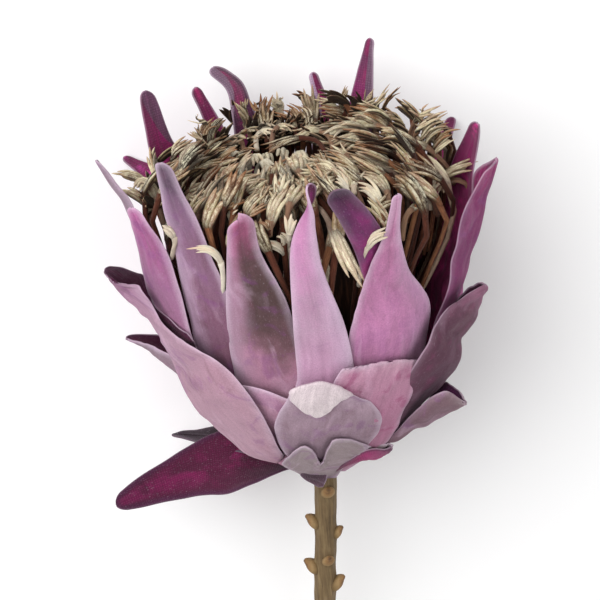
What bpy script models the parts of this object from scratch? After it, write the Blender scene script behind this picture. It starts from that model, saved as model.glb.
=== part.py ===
import math

import bmesh
import bpy
import numpy as np
from mathutils import Matrix

# Scale
# The flower is drawn in millimetres in a frame of its own: x to the right, y away from the viewer, z up the
# axis of the head, with the bracts' common root at the origin. It is then laid on its back and put in metres.
MM = 0.001
LIE_TILT = 13.8
SEED = 7

# Bracts
# A shape holds a bract's share of its full width at even steps from root to tip, and headings hold the slope
# of its midline in degrees at even steps: 0 is up, 90 is outward. A tall bract's are read by length from the
# root, so that they all make one cup.
BRACT_THICK = 0.7
COLUMNS = 5
TALL_STEPS = (0, 0.11, 0.24, 0.38, 0.53, 0.67, 0.79, 0.9, 0.97, 1)
LOW_STEPS = (0, 0.15, 0.31, 0.48, 0.65, 0.8, 0.94, 1)
FOLD_STEPS = (0, 0.15, 0.32, 0.5, 0.66, 0.8, 0.86, 0.9, 0.95, 1)
FLASK = (0.22, 0.64, 0.90, 1.0, 1.0, 0.94, 0.74, 0.50, 0.30)
NECKED = (0.22, 0.64, 0.90, 1.0, 1.0, 0.98, 0.68, 0.30, 0.20)
BLADE = (0.26, 0.64, 0.90, 1.0, 0.98, 0.90, 0.76, 0.56, 0.34)
BROAD = (0.26, 0.62, 0.88, 1.0, 1.0, 0.98, 0.94, 0.84, 0.60)
TAPER = (0.26, 0.70, 0.96, 1.0, 0.92, 0.78, 0.60, 0.40, 0.20)
TALL = (52, 45, 28, 10, 8, 13, 20)
TALL_REACH = 124
FLARED = (58, 50, 32, 22, 34, 50)
HUG = (54, 47, 34, 18, 12, 10)
FOLD = (56, 52, 46, 38, 30, 22, 17, 14, 12, 12, 40, 150, 168)
ROUNDING = (12, 34, 44, 30, 8)
INNER_START = (6, 7.8)
OUTER_START = (6.4, 2.8)

# The tall inner whorl: name, azimuth, length, width, lean, sway, lift, shape
# Azimuth is in degrees from the viewer's side, lean adds to the slope towards the tip, sway turns the tip
# round the axis, and lift is how far the bract lies in front of its neighbours.
INNER = (
    ("front", 1, 124, 17.5, -4, 3, 1.8, FLASK),
    ("front_left", -18, 113, 25, -4, -4, 0.8, FLASK),
    ("left_tall", -39, 131, 19, -3, -4, -0.2, FLASK),
    ("left", -72, 112, 22, 3, 3, -1.2, FLASK),
    ("left_edge", -85, 123, 19, 8, 5, -2.2, FLASK),
    ("back_left", -116, 124, 24, 1, -11, 0.6, NECKED),
    ("back_left_low", -137, 92, 22, 0, 0, -1.4, BLADE),
    ("back_slim_left", -154, 119, 17, 0, 6, -0.4, NECKED),
    ("back_curl", -171, 123, 19, 1, 14, 0.6, NECKED),
    ("back_slim", 165, 117, 17, 0, 7, -0.4, NECKED),
    ("back_right", 156, 128, 19, 0, -4, 0.6, NECKED),
    ("back_right_low", 129, 94, 24, 0, 0, -1.4, BLADE),
    ("right_back", 99, 121, 22, 1, -13, -0.4, NECKED),
    ("right", 78, 119, 24, 10, -10, 0.6, FLASK),
    ("front_turned", 46, 122, 19, -2, -33, -1.2, FLASK),
    ("front_right", 32, 116, 29, -3, 0, 0.7, NECKED),
)

# The loose outer whorl: name, azimuth, length, width, headings, sway, twist, lift, shape, steps
OUTER = (
    ("left_long", -27, 116, 27, (58, 49, 26, 12, 22, 42), -27, 0, 2.2, BLADE, LOW_STEPS),
    ("left_low", -100, 66, 17, (62, 56, 44, 42, 56, 70), 0, 0, 0.6, BLADE, LOW_STEPS),
    ("left_reflexed", -104, 64, 26, (80, 94, 102, 108, 110, 110), 8, -48, 0.0, TAPER, LOW_STEPS),
    ("left_under", -124, 48, 14, (84, 86, 90, 92, 94, 96), 4, 0, 0.0, BLADE, LOW_STEPS),
    ("front_folded", 1, 67, 33, FOLD, 0, 0, 2.6, BLADE, FOLD_STEPS),
    ("front_small", -2, 41, 30, (48, 45, 42, 36, 34, 34, 120), 0, 0, 3.8, BROAD, LOW_STEPS),
    ("front_low_left", -27, 60, 29, HUG, 0, 0, 0.6, BROAD, LOW_STEPS),
    ("front_low_right", 28, 62, 33, HUG, 0, 0, 0.6, BROAD, LOW_STEPS),
    ("right_long", 40, 100, 25, (56, 50, 31, 18, 26, 38), 8, 0, 2.0, BLADE, LOW_STEPS),
    ("right_low", 64, 50, 20, (60, 56, 50, 48, 54, 62), 8, 0, 3.4, BLADE, LOW_STEPS),
    ("right_small", 44, 36, 16, (50, 47, 44, 44, 54, 66), 0, 0, 4.2, BROAD, LOW_STEPS),
    ("back_rest_right", 131, 117.5, 21, FLARED, 9, 0, 0.8, BLADE, LOW_STEPS),
    ("back_rest_left", -149, 115, 21, FLARED, 8, 0, 0.8, BLADE, LOW_STEPS),
    ("right_hidden", 103, 72, 25, (56, 48, 32, 20, 26, 36), 0, 0, 0.6, BLADE, LOW_STEPS),
    ("back_hidden_right", 164, 58, 23, HUG, 0, 0, 0.6, BLADE, LOW_STEPS),
    ("back_hidden_left", -172, 56, 23, HUG, 0, 0, 1.7, BLADE, LOW_STEPS),
)
WALL_DEPTH = 2.7
WALL_CLEARANCE = 0.8
WALL_PER_LIFT = 0.9

# The rings that each whorl's bracts grow from, as heights and radii
CUP = ((6.4, 0.0), (6.4, 5.2), (12.6, 12.6), (18.0, 18.2), (20.0, 16.6), (15.4, 11.4), (11.8, 6.4), (11.4, 0.0))
COLLAR = ((0.6, 4.8), (0.8, 7.2), (5.4, 12.6), (10.0, 17.0), (12.2, 15.8), (7.6, 10.8), (5.0, 7.6), (4.6, 4.8))
HUB_SIDES = 24

# Florets: name, count, radius and height of the root, length, width, headings
CORE = ((15.6, 0.0), (16.2, 5.0), (34, 23.0), (56, 32.0), (80, 35.6), (86, 34.8), (93, 26.0), (95, 15.0),
        (95, 0.0))
RIBS = 34
RIB_DEPTH = 0.9
RINGS = (
    ("outer", 34, 32.4, 60.0, 55, 5.2, (22, 17, 14, 16, -52, -86)),
    ("second", 27, 31.6, 84.0, 29, 5.0, (8, 6, 0, -35, -65, -70)),
    ("third", 20, 24.2, 89.0, 24, 4.8, (6, 4, 0, -35, -66, -72)),
    ("fourth", 14, 17.0, 92.0, 20, 4.4, (6, 4, -4, -38, -68, -74)),
)
SPREAD = 9
BACK_RISE = 30
LEVELS = (56, 63, 70, 77, 84, 91, 98, 105, 112)
OPEN_REACH = 54
FLORET_CLEARANCE = 2.9
FLORET_THICK = 1.5
FLORET_STEPS = (0, 0.3, 0.55, 0.72, 0.9)

# The small florets of the crater: count, radius, length
CENTRE = ((9, 6.4, 9.5), (4, 2.6, 8.5))
CENTRE_HEIGHT = 96.0
CENTRE_WIDTH = 3.8
CENTRE_HEADINGS = (8, 2, -12, -34, -60)
CENTRE_STEPS = (0, 0.35, 0.65, 0.88)
PAD = ((95.4, 0.0), (95.4, 7.8), (96.8, 7.6), (97.2, 0.0))

# Stem: heights and radii down to the cut, and the leaf scars as height, azimuth, reach, size
STEM_RADIUS = 3.5
STEM_LEAN = 5.0
STEM = ((5.8, 3.9), (2.4, 3.7), (-4, 3.5), (-16, 3.3), (-30, 3.3), (-50, 3.25), (-75, 3.2), (-100, 3.15),
        (-122, 3.1), (-142, 3.1))
NUBS = (
    (-6, -6, 1.9, 2.0), (-17, -92, 2.8, 2.5), (-18, 84, 1.6, 1.8), (-23, 98, 2.0, 1.9), (-33, 10, 1.5, 1.4),
    (-37, -98, 3.2, 2.6), (-42, 86, 3.0, 2.6), (-56, -50, 2.2, 2.2), (-68, 112, 2.6, 2.3),
    (-80, -104, 2.8, 2.4), (-93, 40, 2.2, 2.0), (-107, -72, 2.6, 2.3), (-122, 88, 2.5, 2.2),
)

COLOURS = {
    "stem": (0.19, 0.13, 0.065),
    "outer_bracts": (0.30, 0.12, 0.24),
    "inner_bracts": (0.42, 0.16, 0.34),
    "florets": (0.30, 0.20, 0.11),
    "centre_florets": (0.58, 0.48, 0.28),
}
ROUGHNESS = 0.8


def smooth(values, t):
    """Values at even steps over 0..1, read along the smooth curve through them."""
    v = np.asarray(values, float)
    last = len(v) - 1
    x = np.clip(np.asarray(t, float) * last, 0, last - 1e-9)
    i = x.astype(int)
    f = x - i
    before = v[np.maximum(i - 1, 0)]
    here = v[i]
    there = v[i + 1]
    after = v[np.minimum(i + 2, last)]
    bend = 2 * before - 5 * here + 4 * there - after
    return here + 0.5 * f * (there - before + f * (bend + f * (3 * (here - there) + after - before)))


def midline(start, length, headings, t):
    """Distance from the axis and height at t along a curve of this length, and its slope there."""
    fine = np.linspace(0, 1, 201)
    slope = np.radians(smooth(headings, fine))
    step = length / 200
    out = start[0] + np.concatenate([[0], np.cumsum(step * 0.5 * (np.sin(slope[1:]) + np.sin(slope[:-1])))])
    up = start[1] + np.concatenate([[0], np.cumsum(step * 0.5 * (np.cos(slope[1:]) + np.cos(slope[:-1])))])
    return np.interp(t, fine, out), np.interp(t, fine, up), np.interp(t, fine, slope)


def frames(azimuth, out, up, slope):
    """Points of a curve beside the axis, with its direction, outward normal and sideways vector at each."""
    turn = np.radians(azimuth)
    away = np.stack([np.sin(turn), -np.cos(turn), 0 * turn], -1)
    points = away * out[:, None] + np.array([0, 0, 1.0]) * up[:, None]
    along = np.gradient(points, axis=0)
    along /= np.linalg.norm(along, axis=1)[:, None]
    normal = np.cos(slope)[:, None] * away - np.sin(slope)[:, None] * np.array([0, 0, 1.0])
    normal -= (normal * along).sum(1)[:, None] * along
    normal /= np.linalg.norm(normal, axis=1)[:, None]
    return points, along, normal, np.cross(along, normal)


def bract_grid(azimuth, length, width, headings, sway, twist, lift, shape, start, steps):
    """The middle surface of a bract, one row of points for each step along it."""
    t = np.array(steps, float)
    out, up, slope = midline(start, length, headings, t)
    points, along, normal, side = frames(azimuth + sway * t**2, out, up, slope)
    roll = np.radians(twist * np.sin(np.pi / 2 * t))[:, None]
    normal, side = (normal * np.cos(roll) + side * np.sin(roll), side * np.cos(roll) - normal * np.sin(roll))
    half = width / 2 * smooth(shape, t) * np.interp(t, (0, 0.955, 0.985, 1), (1, 1, 0.8, 0.4))
    radius = np.interp(t, (0, 0.2, 0.45, 0.7, 1), ROUNDING)
    bend = np.minimum(half / radius, 1.2)
    radius = half / bend
    turn = np.linspace(-1, 1, COLUMNS)[None] * bend[:, None]
    across = radius[:, None] * np.sin(turn)
    inward = radius[:, None] * (1 - np.cos(turn))
    rise = lift * np.clip(t * 3, 0, 1)
    height = rise[:, None] - inward
    return points[:, None] + side[:, None] * across[..., None] + normal[:, None] * height[..., None]


def push_out(grid, clear):
    """The grid with every point moved out to clear the wall of the whorl inside it."""
    out, up, slope = midline(INNER_START, TALL_REACH, TALL, np.linspace(0, 0.72, 19))
    heights = np.concatenate([[3.0], up])
    wall = np.concatenate([[4.5], out + WALL_DEPTH])
    radius = np.hypot(grid[..., 0], grid[..., 1])
    least = np.interp(grid[..., 2], heights, wall) + clear
    near = (grid[..., 2] < heights[-1]) & (radius < least)
    scale = np.where(near, least / np.maximum(radius, 1e-6), 1.0)
    return grid * np.stack([scale, scale, np.ones_like(scale)], -1)


def mesh_object(name, shape, collection):
    """An object that holds the shape, with its faces facing out."""
    bmesh.ops.recalc_face_normals(shape, faces=shape.faces)
    if shape.calc_volume(signed=True) < 0:
        bmesh.ops.reverse_faces(shape, faces=shape.faces)
    mesh = bpy.data.meshes.new(name)
    shape.to_mesh(mesh)
    shape.free()
    item = bpy.data.objects.new(name, mesh)
    collection.objects.link(item)
    return item


def applied(item):
    """The object's shape as its modifiers leave it, welded and facing out, in a new object of the same name."""
    name = item.name
    collection = item.users_collection[0]
    bpy.context.view_layer.update()
    mesh = bpy.data.meshes.new_from_object(item.evaluated_get(bpy.context.evaluated_depsgraph_get()))
    shape = bmesh.new()
    shape.from_mesh(mesh)
    bmesh.ops.remove_doubles(shape, verts=shape.verts, dist=0.0001)
    bpy.data.objects.remove(item, do_unlink=True)
    bpy.data.meshes.remove(mesh)
    return mesh_object(name, shape, collection)


def bract(name, grid, collection):
    """A sheet through the grid, split into triangles alike on both faces and thickened about its middle."""
    rows, columns = grid.shape[:2]
    shape = bmesh.new()
    bmesh.ops.create_grid(shape, x_segments=columns - 1, y_segments=rows - 1, size=1)
    place = {}
    for vertex in shape.verts:
        row = round((vertex.co.y + 1) / 2 * (rows - 1))
        column = round((vertex.co.x + 1) / 2 * (columns - 1))
        place[vertex] = (row, column)
        vertex.co = grid[row, column]
    for face in list(shape.faces):
        a, b, c, d = sorted(face.verts, key=place.get)
        if place[a][1] < (columns - 1) / 2:
            bmesh.utils.face_split(face, a, d)
        else:
            bmesh.utils.face_split(face, b, c)
    item = mesh_object(name, shape, collection)
    sheet = item.modifiers.new("thickness", "SOLIDIFY")
    sheet.thickness = BRACT_THICK
    sheet.offset = 0
    return item


def turned(name, profile, sides, collection):
    """A solid turned about the axis from heights and radii that start and end on it, or close on themselves."""
    outline = bmesh.new()
    points = [outline.verts.new((r, 0, z)) for z, r in profile]
    for a, b in zip(points, points[1:]):
        outline.edges.new((a, b))
    if profile[0][1] > 0:
        outline.edges.new((points[-1], points[0]))
    item = mesh_object(name, outline, collection)
    turn = item.modifiers.new("turn", "SCREW")
    turn.steps = sides
    turn.render_steps = sides
    turn.use_normal_calculate = True
    turn.use_merge_vertices = True
    turn.merge_threshold = 0.0001
    return applied(item)


def floret(name, collection, azimuth, start, length, width, headings, sway=0.0, limit=None, steps=FLORET_STEPS):
    """A slim stalk that widens into a keeled head with a forked tip, kept within its reach from the axis."""
    t = np.array(steps)
    out, up, slope = midline(start, length, headings, np.append(t, 1.0))
    if limit:
        out = np.minimum(out, np.interp(up, [z for z, r in limit], [r for z, r in limit]))
    points, along, normal, side = frames(azimuth + sway * np.append(t, 1.0) ** 2, out, up, slope)
    half = width / 2 * np.interp(t, (0, 0.45, 0.62, 0.8, 1), (0.42, 0.42, 0.95, 1.0, 0.8))
    deep = FLORET_THICK / 2 * np.interp(t, (0, 0.5, 0.7, 1), (1.1, 1.0, 1.0, 0.7))
    shape = bmesh.new()
    rings = []
    for i in range(len(t)):
        droop = normal[i] * deep[i] * 0.5
        section = (points[i] - side[i] * half[i] - droop, points[i] + normal[i] * deep[i],
                   points[i] + side[i] * half[i] - droop, points[i] - normal[i] * deep[i])
        rings.append([shape.verts.new(corner) for corner in section])
    shape.faces.new(rings[0])
    for low, high in zip(rings, rings[1:]):
        for k in range(4):
            n = (k + 1) % 4
            shape.faces.new((low[k], high[k], high[n]))
            shape.faces.new((low[k], high[n], low[n]))
    left, above, right, below = rings[-1]
    for corner, hand in ((left, -1), (right, 1)):
        tine = shape.verts.new(points[-1] + hand * side[-1] * width * 0.32 - normal[-1] * 0.3)
        shape.faces.new((corner, tine, above))
        shape.faces.new((corner, below, tine))
        shape.faces.new((above, tine, below))
    return mesh_object(name, shape, collection)


def keep_largest(shape):
    """Drops sealed hollows and loose scraps from a fused shape."""
    seen = set()
    bodies = []
    for first in shape.verts:
        if first in seen:
            continue
        seen.add(first)
        body = [first]
        for vertex in body:
            for edge in vertex.link_edges:
                other = edge.other_vert(vertex)
                if other not in seen:
                    seen.add(other)
                    body.append(other)
        bodies.append(body)
    bodies.sort(key=len)
    for body in bodies[:-1]:
        bmesh.ops.delete(shape, geom=body, context="VERTS")


def fused(base, group):
    """One body: the base with every piece of the group joined to it by one union, and the pieces removed."""
    union = base.modifiers.new("union", "BOOLEAN")
    union.operation = "UNION"
    union.operand_type = "COLLECTION"
    union.collection = group
    # The exact solver takes minutes on this many pieces.
    union.solver = "MANIFOLD"
    bpy.context.view_layer.update()
    mesh = bpy.data.meshes.new_from_object(base.evaluated_get(bpy.context.evaluated_depsgraph_get()))
    base.modifiers.clear()
    shape = bmesh.new()
    shape.from_mesh(mesh)
    keep_largest(shape)
    shape.to_mesh(base.data)
    shape.free()
    bpy.data.meshes.remove(mesh)
    for item in list(group.objects):
        bpy.data.objects.remove(item, do_unlink=True)
    bpy.data.collections.remove(group)
    return base


def new_group(name):
    group = bpy.data.collections.new(name)
    bpy.context.scene.collection.children.link(group)
    return group


def stem_centre(z):
    """The stem's centre at a height under the head, where it leans aside below a short neck."""
    below = max(-z - 1.0, 0)
    return np.array([-math.tan(math.radians(STEM_LEAN)) * below**2 / (below + 8.0), 0, z])


def stem_rod(collection):
    """A tapered round rod with a plain cut end."""
    rod = bpy.data.curves.new("stem", "CURVE")
    rod.dimensions = "3D"
    rod.bevel_depth = 1
    rod.bevel_resolution = 4
    rod.use_fill_caps = True
    line = rod.splines.new("POLY")
    line.points.add(len(STEM) - 1)
    for point, (height, radius) in zip(line.points, STEM):
        point.co = (*stem_centre(height), 1)
        point.radius = radius
    item = bpy.data.objects.new("stem_line", rod)
    collection.objects.link(item)
    solid = applied(item)
    solid.name = "stem"
    return solid


def nub(name, collection, z, azimuth, reach, size):
    """A leaf scar: a small scale that points up and away from a rounded seat, sunk into the stem."""
    turn = math.radians(azimuth)
    away = np.array([math.sin(turn), -math.cos(turn), 0])
    side = np.array([math.cos(turn), math.sin(turn), 0])
    up = np.array([0, 0, 1.0])
    seat = stem_centre(z) + away * (STEM_RADIUS - 1.2)
    shape = bmesh.new()
    bmesh.ops.create_uvsphere(shape, u_segments=6, v_segments=4, radius=1)
    for vertex in shape.verts:
        x, y, out = vertex.co
        rise = y + 0.75 * max(out, 0) ** 2
        vertex.co = seat + away * out * (1.2 + reach) + side * x * size + up * rise * size
    return mesh_object(name, shape, collection)


def make_stem(collection):
    group = new_group("nubs")
    for k, row in enumerate(NUBS):
        nub(f"nub_{k}", group, *row)
    return fused(stem_rod(collection), group)


def inner_grids():
    """The middle surfaces of the inner bracts."""
    grids = []
    for name, azimuth, length, width, lean, sway, lift, shape in INNER:
        part = np.linspace(0, 1, len(TALL))
        headings = smooth(TALL, np.minimum(part * length / TALL_REACH, 1)) + lean * part**2
        grid = bract_grid(azimuth, length, width, headings, sway, 0, lift, shape, INNER_START, TALL_STEPS)
        grids.append(grid)
    return grids


def make_inner(collection):
    group = new_group("tall_bracts")
    for row, grid in zip(INNER, inner_grids()):
        bract(row[0], grid, group)
    return fused(turned("inner_bracts", CUP, HUB_SIDES, collection), group)


def make_outer(collection):
    group = new_group("loose_bracts")
    for name, azimuth, length, width, headings, sway, twist, lift, shape, steps in OUTER:
        grid = bract_grid(azimuth, length, width, headings, sway, twist, lift, shape, OUTER_START, steps)
        bract(name, push_out(grid, WALL_CLEARANCE + WALL_PER_LIFT * lift), group)
    return fused(turned("outer_bracts", COLLAR, HUB_SIDES, collection), group)


def reach_within(azimuth, grids, margin):
    """How far out a floret at this azimuth may stand at each level before it meets an inner bract."""
    reach = []
    for level in LEVELS:
        free = OPEN_REACH
        for grid in grids:
            heights = grid[:, COLUMNS // 2, 2]
            if level > heights[-1] + 4:
                continue
            turns = np.degrees(np.arctan2(grid[..., 0], -grid[..., 1])) - azimuth
            turns = (turns + 180) % 360 - 180
            lowest = np.interp(level, heights, turns.min(axis=1))
            highest = np.interp(level, heights, turns.max(axis=1))
            if lowest - margin < 0 < highest + margin and highest - lowest < 180:
                nearest = np.interp(level, heights, np.hypot(grid[..., 0], grid[..., 1]).min(axis=1))
                free = min(free, nearest - FLORET_CLEARANCE)
        reach.append((level, free))
    return reach


def make_florets(collection):
    """Rings of florets that stand out of a ribbed core and curve in over it."""
    chance = np.random.default_rng(SEED)
    grids = inner_grids()
    core = turned("florets", CORE, RIBS * 2, collection)
    for vertex in core.data.vertices:
        radius = math.hypot(vertex.co.x, vertex.co.y)
        if radius > 25:
            ripple = 1 + RIB_DEPTH * math.cos(RIBS * math.atan2(vertex.co.x, -vertex.co.y)) / radius
            vertex.co.x *= ripple
            vertex.co.y *= ripple
    group = new_group("ring_florets")
    for name, count, radius, height, length, width, headings in RINGS:
        for k in range(count):
            azimuth = 360 * (k + 0.5 * (name in ("second", "fourth"))) / count + chance.uniform(-0.8, 0.8)
            turned_headings = headings
            reach = None
            if name == "outer":
                rise = BACK_RISE * max(0.0, -math.cos(math.radians(azimuth))) ** 2
                turned_headings = [h + SPREAD * (i < 4) + rise * (i / 5) ** 2 for i, h in enumerate(headings)]
                reach = reach_within(azimuth, grids, 6)
            grown = length * chance.uniform(0.95, 1.03)
            sway = chance.uniform(-2, 2)
            floret(f"{name}_{k}", group, azimuth, (radius, height), grown, width, turned_headings, sway, reach)
    return fused(core, group)


def make_centre(collection):
    chance = np.random.default_rng(SEED + 1)
    group = new_group("crater_florets")
    for count, radius, length in CENTRE:
        for k in range(count):
            azimuth = 360 * k / count + chance.uniform(-6, 6)
            floret(f"centre_{radius}_{k}", group, azimuth, (radius, CENTRE_HEIGHT), length, CENTRE_WIDTH,
                   CENTRE_HEADINGS, steps=CENTRE_STEPS)
    return fused(turned("centre_florets", PAD, 20, collection), group)


def lay_down(items, collection):
    """Rolls the flower on to its back under one empty, centred, with its lowest point on the surface."""
    for item in items:
        item.data.transform(Matrix.Scale(MM, 4))
    tilt = math.radians(-90 + LIE_TILT)
    roll = Matrix.Rotation(tilt, 4, "X")
    points = np.array([roll @ vertex.co for item in items for vertex in item.data.vertices])
    low = points.min(axis=0)
    high = points.max(axis=0)
    rest = bpy.data.objects.new("rest", None)
    collection.objects.link(rest)
    rest.rotation_euler.x = tilt
    rest.location = (-(low[0] + high[0]) / 2, -(low[1] + high[1]) / 2, -low[2])
    for item in items:
        item.parent = rest
    print("root at", [round(float(x), 6) for x in rest.location])


def paint(item):
    material = bpy.data.materials.new(item.name)
    material.use_nodes = True
    shader = material.node_tree.nodes["Principled BSDF"]
    shader.inputs["Base Color"].default_value = (*COLOURS[item.name], 1)
    shader.inputs["Roughness"].default_value = ROUGHNESS
    item.data.materials.clear()
    item.data.materials.append(material)


def main():
    for item in list(bpy.data.objects):
        bpy.data.objects.remove(item, do_unlink=True)
    collection = new_group("protea")
    items = [make(collection) for make in (make_stem, make_outer, make_inner, make_florets, make_centre)]
    lay_down(items, collection)
    for item in items:
        paint(item)


main()
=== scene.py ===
import math

import bpy
import numpy as np
from mathutils import Matrix


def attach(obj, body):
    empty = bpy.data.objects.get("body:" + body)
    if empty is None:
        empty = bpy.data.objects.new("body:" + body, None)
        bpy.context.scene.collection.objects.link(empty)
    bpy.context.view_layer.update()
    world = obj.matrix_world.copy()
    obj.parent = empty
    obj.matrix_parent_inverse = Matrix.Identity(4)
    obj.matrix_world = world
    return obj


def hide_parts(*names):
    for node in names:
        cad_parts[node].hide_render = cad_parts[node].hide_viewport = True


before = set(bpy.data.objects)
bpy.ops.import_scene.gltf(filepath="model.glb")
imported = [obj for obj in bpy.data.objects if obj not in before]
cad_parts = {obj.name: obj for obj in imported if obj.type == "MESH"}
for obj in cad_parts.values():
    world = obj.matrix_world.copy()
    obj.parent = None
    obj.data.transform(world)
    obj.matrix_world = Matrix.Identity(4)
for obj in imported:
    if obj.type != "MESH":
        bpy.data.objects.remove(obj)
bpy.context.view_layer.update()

# The flower is drawn in millimetres in a frame of its own, z up the head's axis and y away from the viewer,
# and every piece is laid down as the frame has it.
lay = {"tilt": 13.8, "root": (0.006586, 0.004513, 0.037282), "scale": 0.001}
layDown = np.array(Matrix.Rotation(math.radians(lay["tilt"] - 90), 3, "X"))


def lying(points):
    return np.asarray(points) @ layDown.T * lay["scale"] + np.array(lay["root"])


# The camera's place. What the photo shows point by point is drawn as seen from there: millimetres right of
# the middle of the view, above it and toward the camera.
view = {"above": 27.0, "roll": 5.0, "distance": 850.0, "aim": (-3, 0, 60), "across": 180.0, "pixels": 600}


def viewAxes():
    above, roll = math.radians(view["above"]), math.radians(view["roll"])
    back = np.array([0, -math.cos(above), math.sin(above)])
    right = np.array([1.0, 0, 0])
    up = np.cross(back, right)
    return right * math.cos(roll) - up * math.sin(roll), up * math.cos(roll) + right * math.sin(roll), back


def seen(points):
    right, up, back = viewAxes()
    points = np.asarray(points, float)
    return np.array(view["aim"]) + points[..., :1] * right + points[..., 1:2] * up + points[..., 2:] * back


def pictured(spots):
    # Places in the photo, pixels right and down and millimetres toward the camera, as seen, to 0.1 mm
    x, y, toward = np.moveaxis(np.asarray(spots, float), -1, 0)
    middle = view["pixels"] / 2
    focal = view["pixels"] * view["distance"] / view["across"]
    away = view["distance"] - toward
    return np.round(np.stack([(x - middle) / focal * away, (middle - y) / focal * away, toward], -1), 1)


# Materials: a wrapped socket, so that shader maths reads as a formula, and one material's nodes

class Sock:
    def __init__(self, paint, socket):
        self.paint = paint
        self.socket = socket

    def math(self, operation, a, b=0.0):
        return self.paint.node("ShaderNodeMath", {"operation": operation}, {0: a, 1: b})

    def __add__(self, other):
        return self.math("ADD", self, other)

    def __radd__(self, other):
        return self.math("ADD", other, self)

    def __sub__(self, other):
        return self.math("SUBTRACT", self, other)

    def __rsub__(self, other):
        return self.math("SUBTRACT", other, self)

    def __mul__(self, other):
        return self.math("MULTIPLY", self, other)

    def __rmul__(self, other):
        return self.math("MULTIPLY", other, self)

    def __abs__(self):
        return self.math("ABSOLUTE", self)


def linear(colour):
    made = [c / 255 for c in colour]
    return tuple(c / 12.92 if c <= 0.04045 else ((c + 0.055) / 1.055) ** 2.4 for c in made) + (1,)


class Paint:
    def __init__(self, name, roughness=0.8, sheen=0.0, sheenTint=(255, 255, 255), specular=0.3):
        self.material = bpy.data.materials.new(name)
        self.material.use_nodes = True
        self.tree = self.material.node_tree
        self.shader = self.tree.nodes["Principled BSDF"]
        self.shader.inputs["Roughness"].default_value = roughness
        self.shader.inputs["Specular IOR Level"].default_value = specular
        self.shader.inputs["Sheen Weight"].default_value = sheen
        self.shader.inputs["Sheen Roughness"].default_value = 0.45
        self.shader.inputs["Sheen Tint"].default_value = linear(sheenTint)

    def node(self, kind, settings, inputs, out=0):
        made = self.tree.nodes.new(kind)
        for key, value in settings.items():
            if key == "stops":
                stops = made.color_ramp.elements
                while len(stops) < len(value):
                    stops.new(0.5)
                for stop, (at, colour) in zip(stops, value):
                    stop.position = at
                    stop.color = linear(colour)
            else:
                setattr(made, key, value)
        for key, value in inputs.items():
            if isinstance(value, Sock):
                self.tree.links.new(value.socket, made.inputs[key])
            else:
                made.inputs[key].default_value = value
        return Sock(self, made.outputs[out])

    def mark(self, name):
        return self.node("ShaderNodeAttribute", {"attribute_name": name}, {}, 2)

    def place(self, name):
        return self.node("ShaderNodeAttribute", {"attribute_name": name}, {}, 1)

    def stretched(self, vector, amounts):
        return self.node("ShaderNodeVectorMath", {"operation": "MULTIPLY"}, {0: vector, 1: amounts})

    def noise(self, vector, scale, detail=2.0, rough=0.5, bent=0.0):
        inputs = {"Vector": vector, "Scale": scale, "Detail": detail, "Roughness": rough, "Distortion": bent}
        return self.node("ShaderNodeTexNoise", {"noise_dimensions": "3D"}, inputs)

    def waves(self, vector, scale, axis, bent):
        settings = {"wave_type": "BANDS", "bands_direction": axis, "wave_profile": "SIN"}
        inputs = {"Vector": vector, "Scale": scale, "Distortion": bent}
        return self.node("ShaderNodeTexWave", settings, inputs, 1)

    def ramp(self, value, stops):
        return self.node("ShaderNodeValToRGB", {"stops": stops}, {0: value})

    def mix(self, a, b, factor=1.0, blend="MIX"):
        a, b = (linear(c) if isinstance(c, tuple) else c for c in (a, b))
        settings = {"data_type": "RGBA", "blend_type": blend, "clamp_factor": True}
        return self.node("ShaderNodeMix", settings, {0: factor, 6: a, 7: b}, 2)

    def ease(self, value, low, high):
        settings = {"interpolation_type": "SMOOTHSTEP"}
        return self.node("ShaderNodeMapRange", settings, {0: value, 1: low, 2: high})

    def finish(self, colour, height, strength, depth, roughness=None):
        self.tree.links.new(colour.socket, self.shader.inputs["Base Color"])
        inputs = {"Strength": strength, "Distance": depth, "Height": height}
        bump = self.node("ShaderNodeBump", {}, inputs)
        self.tree.links.new(bump.socket, self.shader.inputs["Normal"])
        if roughness is not None:
            self.tree.links.new(roughness.socket, self.shader.inputs["Roughness"])
        return self.material


# Curves and surfaces

def smooth(values, t):
    v = np.asarray(values, float)
    last = len(v) - 1
    x = np.clip(np.asarray(t, float) * last, 0, last - 1e-9)
    i = x.astype(int)
    f = (x - i).reshape(x.shape + (1,) * (v.ndim - 1))
    before, here, there, after = v[np.maximum(i - 1, 0)], v[i], v[i + 1], v[np.minimum(i + 2, last)]
    bend = 2 * before - 5 * here + 4 * there - after
    return here + 0.5 * f * (there - before + f * (bend + f * (3 * (here - there) + after - before)))


def midline(start, length, headings, t):
    # Headings are the slope along the way in degrees, 0 up and 90 outward
    steps = 400
    fine = np.linspace(0, 1, steps + 1)
    slope = np.radians(smooth(headings, fine))
    step = length / steps
    out = start[0] + np.concatenate([[0], np.cumsum(step * 0.5 * (np.sin(slope[1:]) + np.sin(slope[:-1])))])
    up = start[1] + np.concatenate([[0], np.cumsum(step * 0.5 * (np.cos(slope[1:]) + np.cos(slope[:-1])))])
    return np.interp(t, fine, out), np.interp(t, fine, up), np.interp(t, fine, slope)


def framesOf(azimuth, out, up, slope):
    turn = np.radians(azimuth)
    away = np.stack([np.sin(turn), -np.cos(turn), 0 * turn], -1)
    points = away * out[:, None] + np.array([0, 0, 1.0]) * up[:, None]
    along = np.gradient(points, axis=0)
    along /= np.linalg.norm(along, axis=1)[:, None]
    normal = np.cos(slope)[:, None] * away - np.sin(slope)[:, None] * np.array([0, 0, 1.0])
    normal -= (normal * along).sum(1)[:, None] * along
    normal /= np.linalg.norm(normal, axis=1)[:, None]
    return points, along, normal, np.cross(along, normal)


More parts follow.
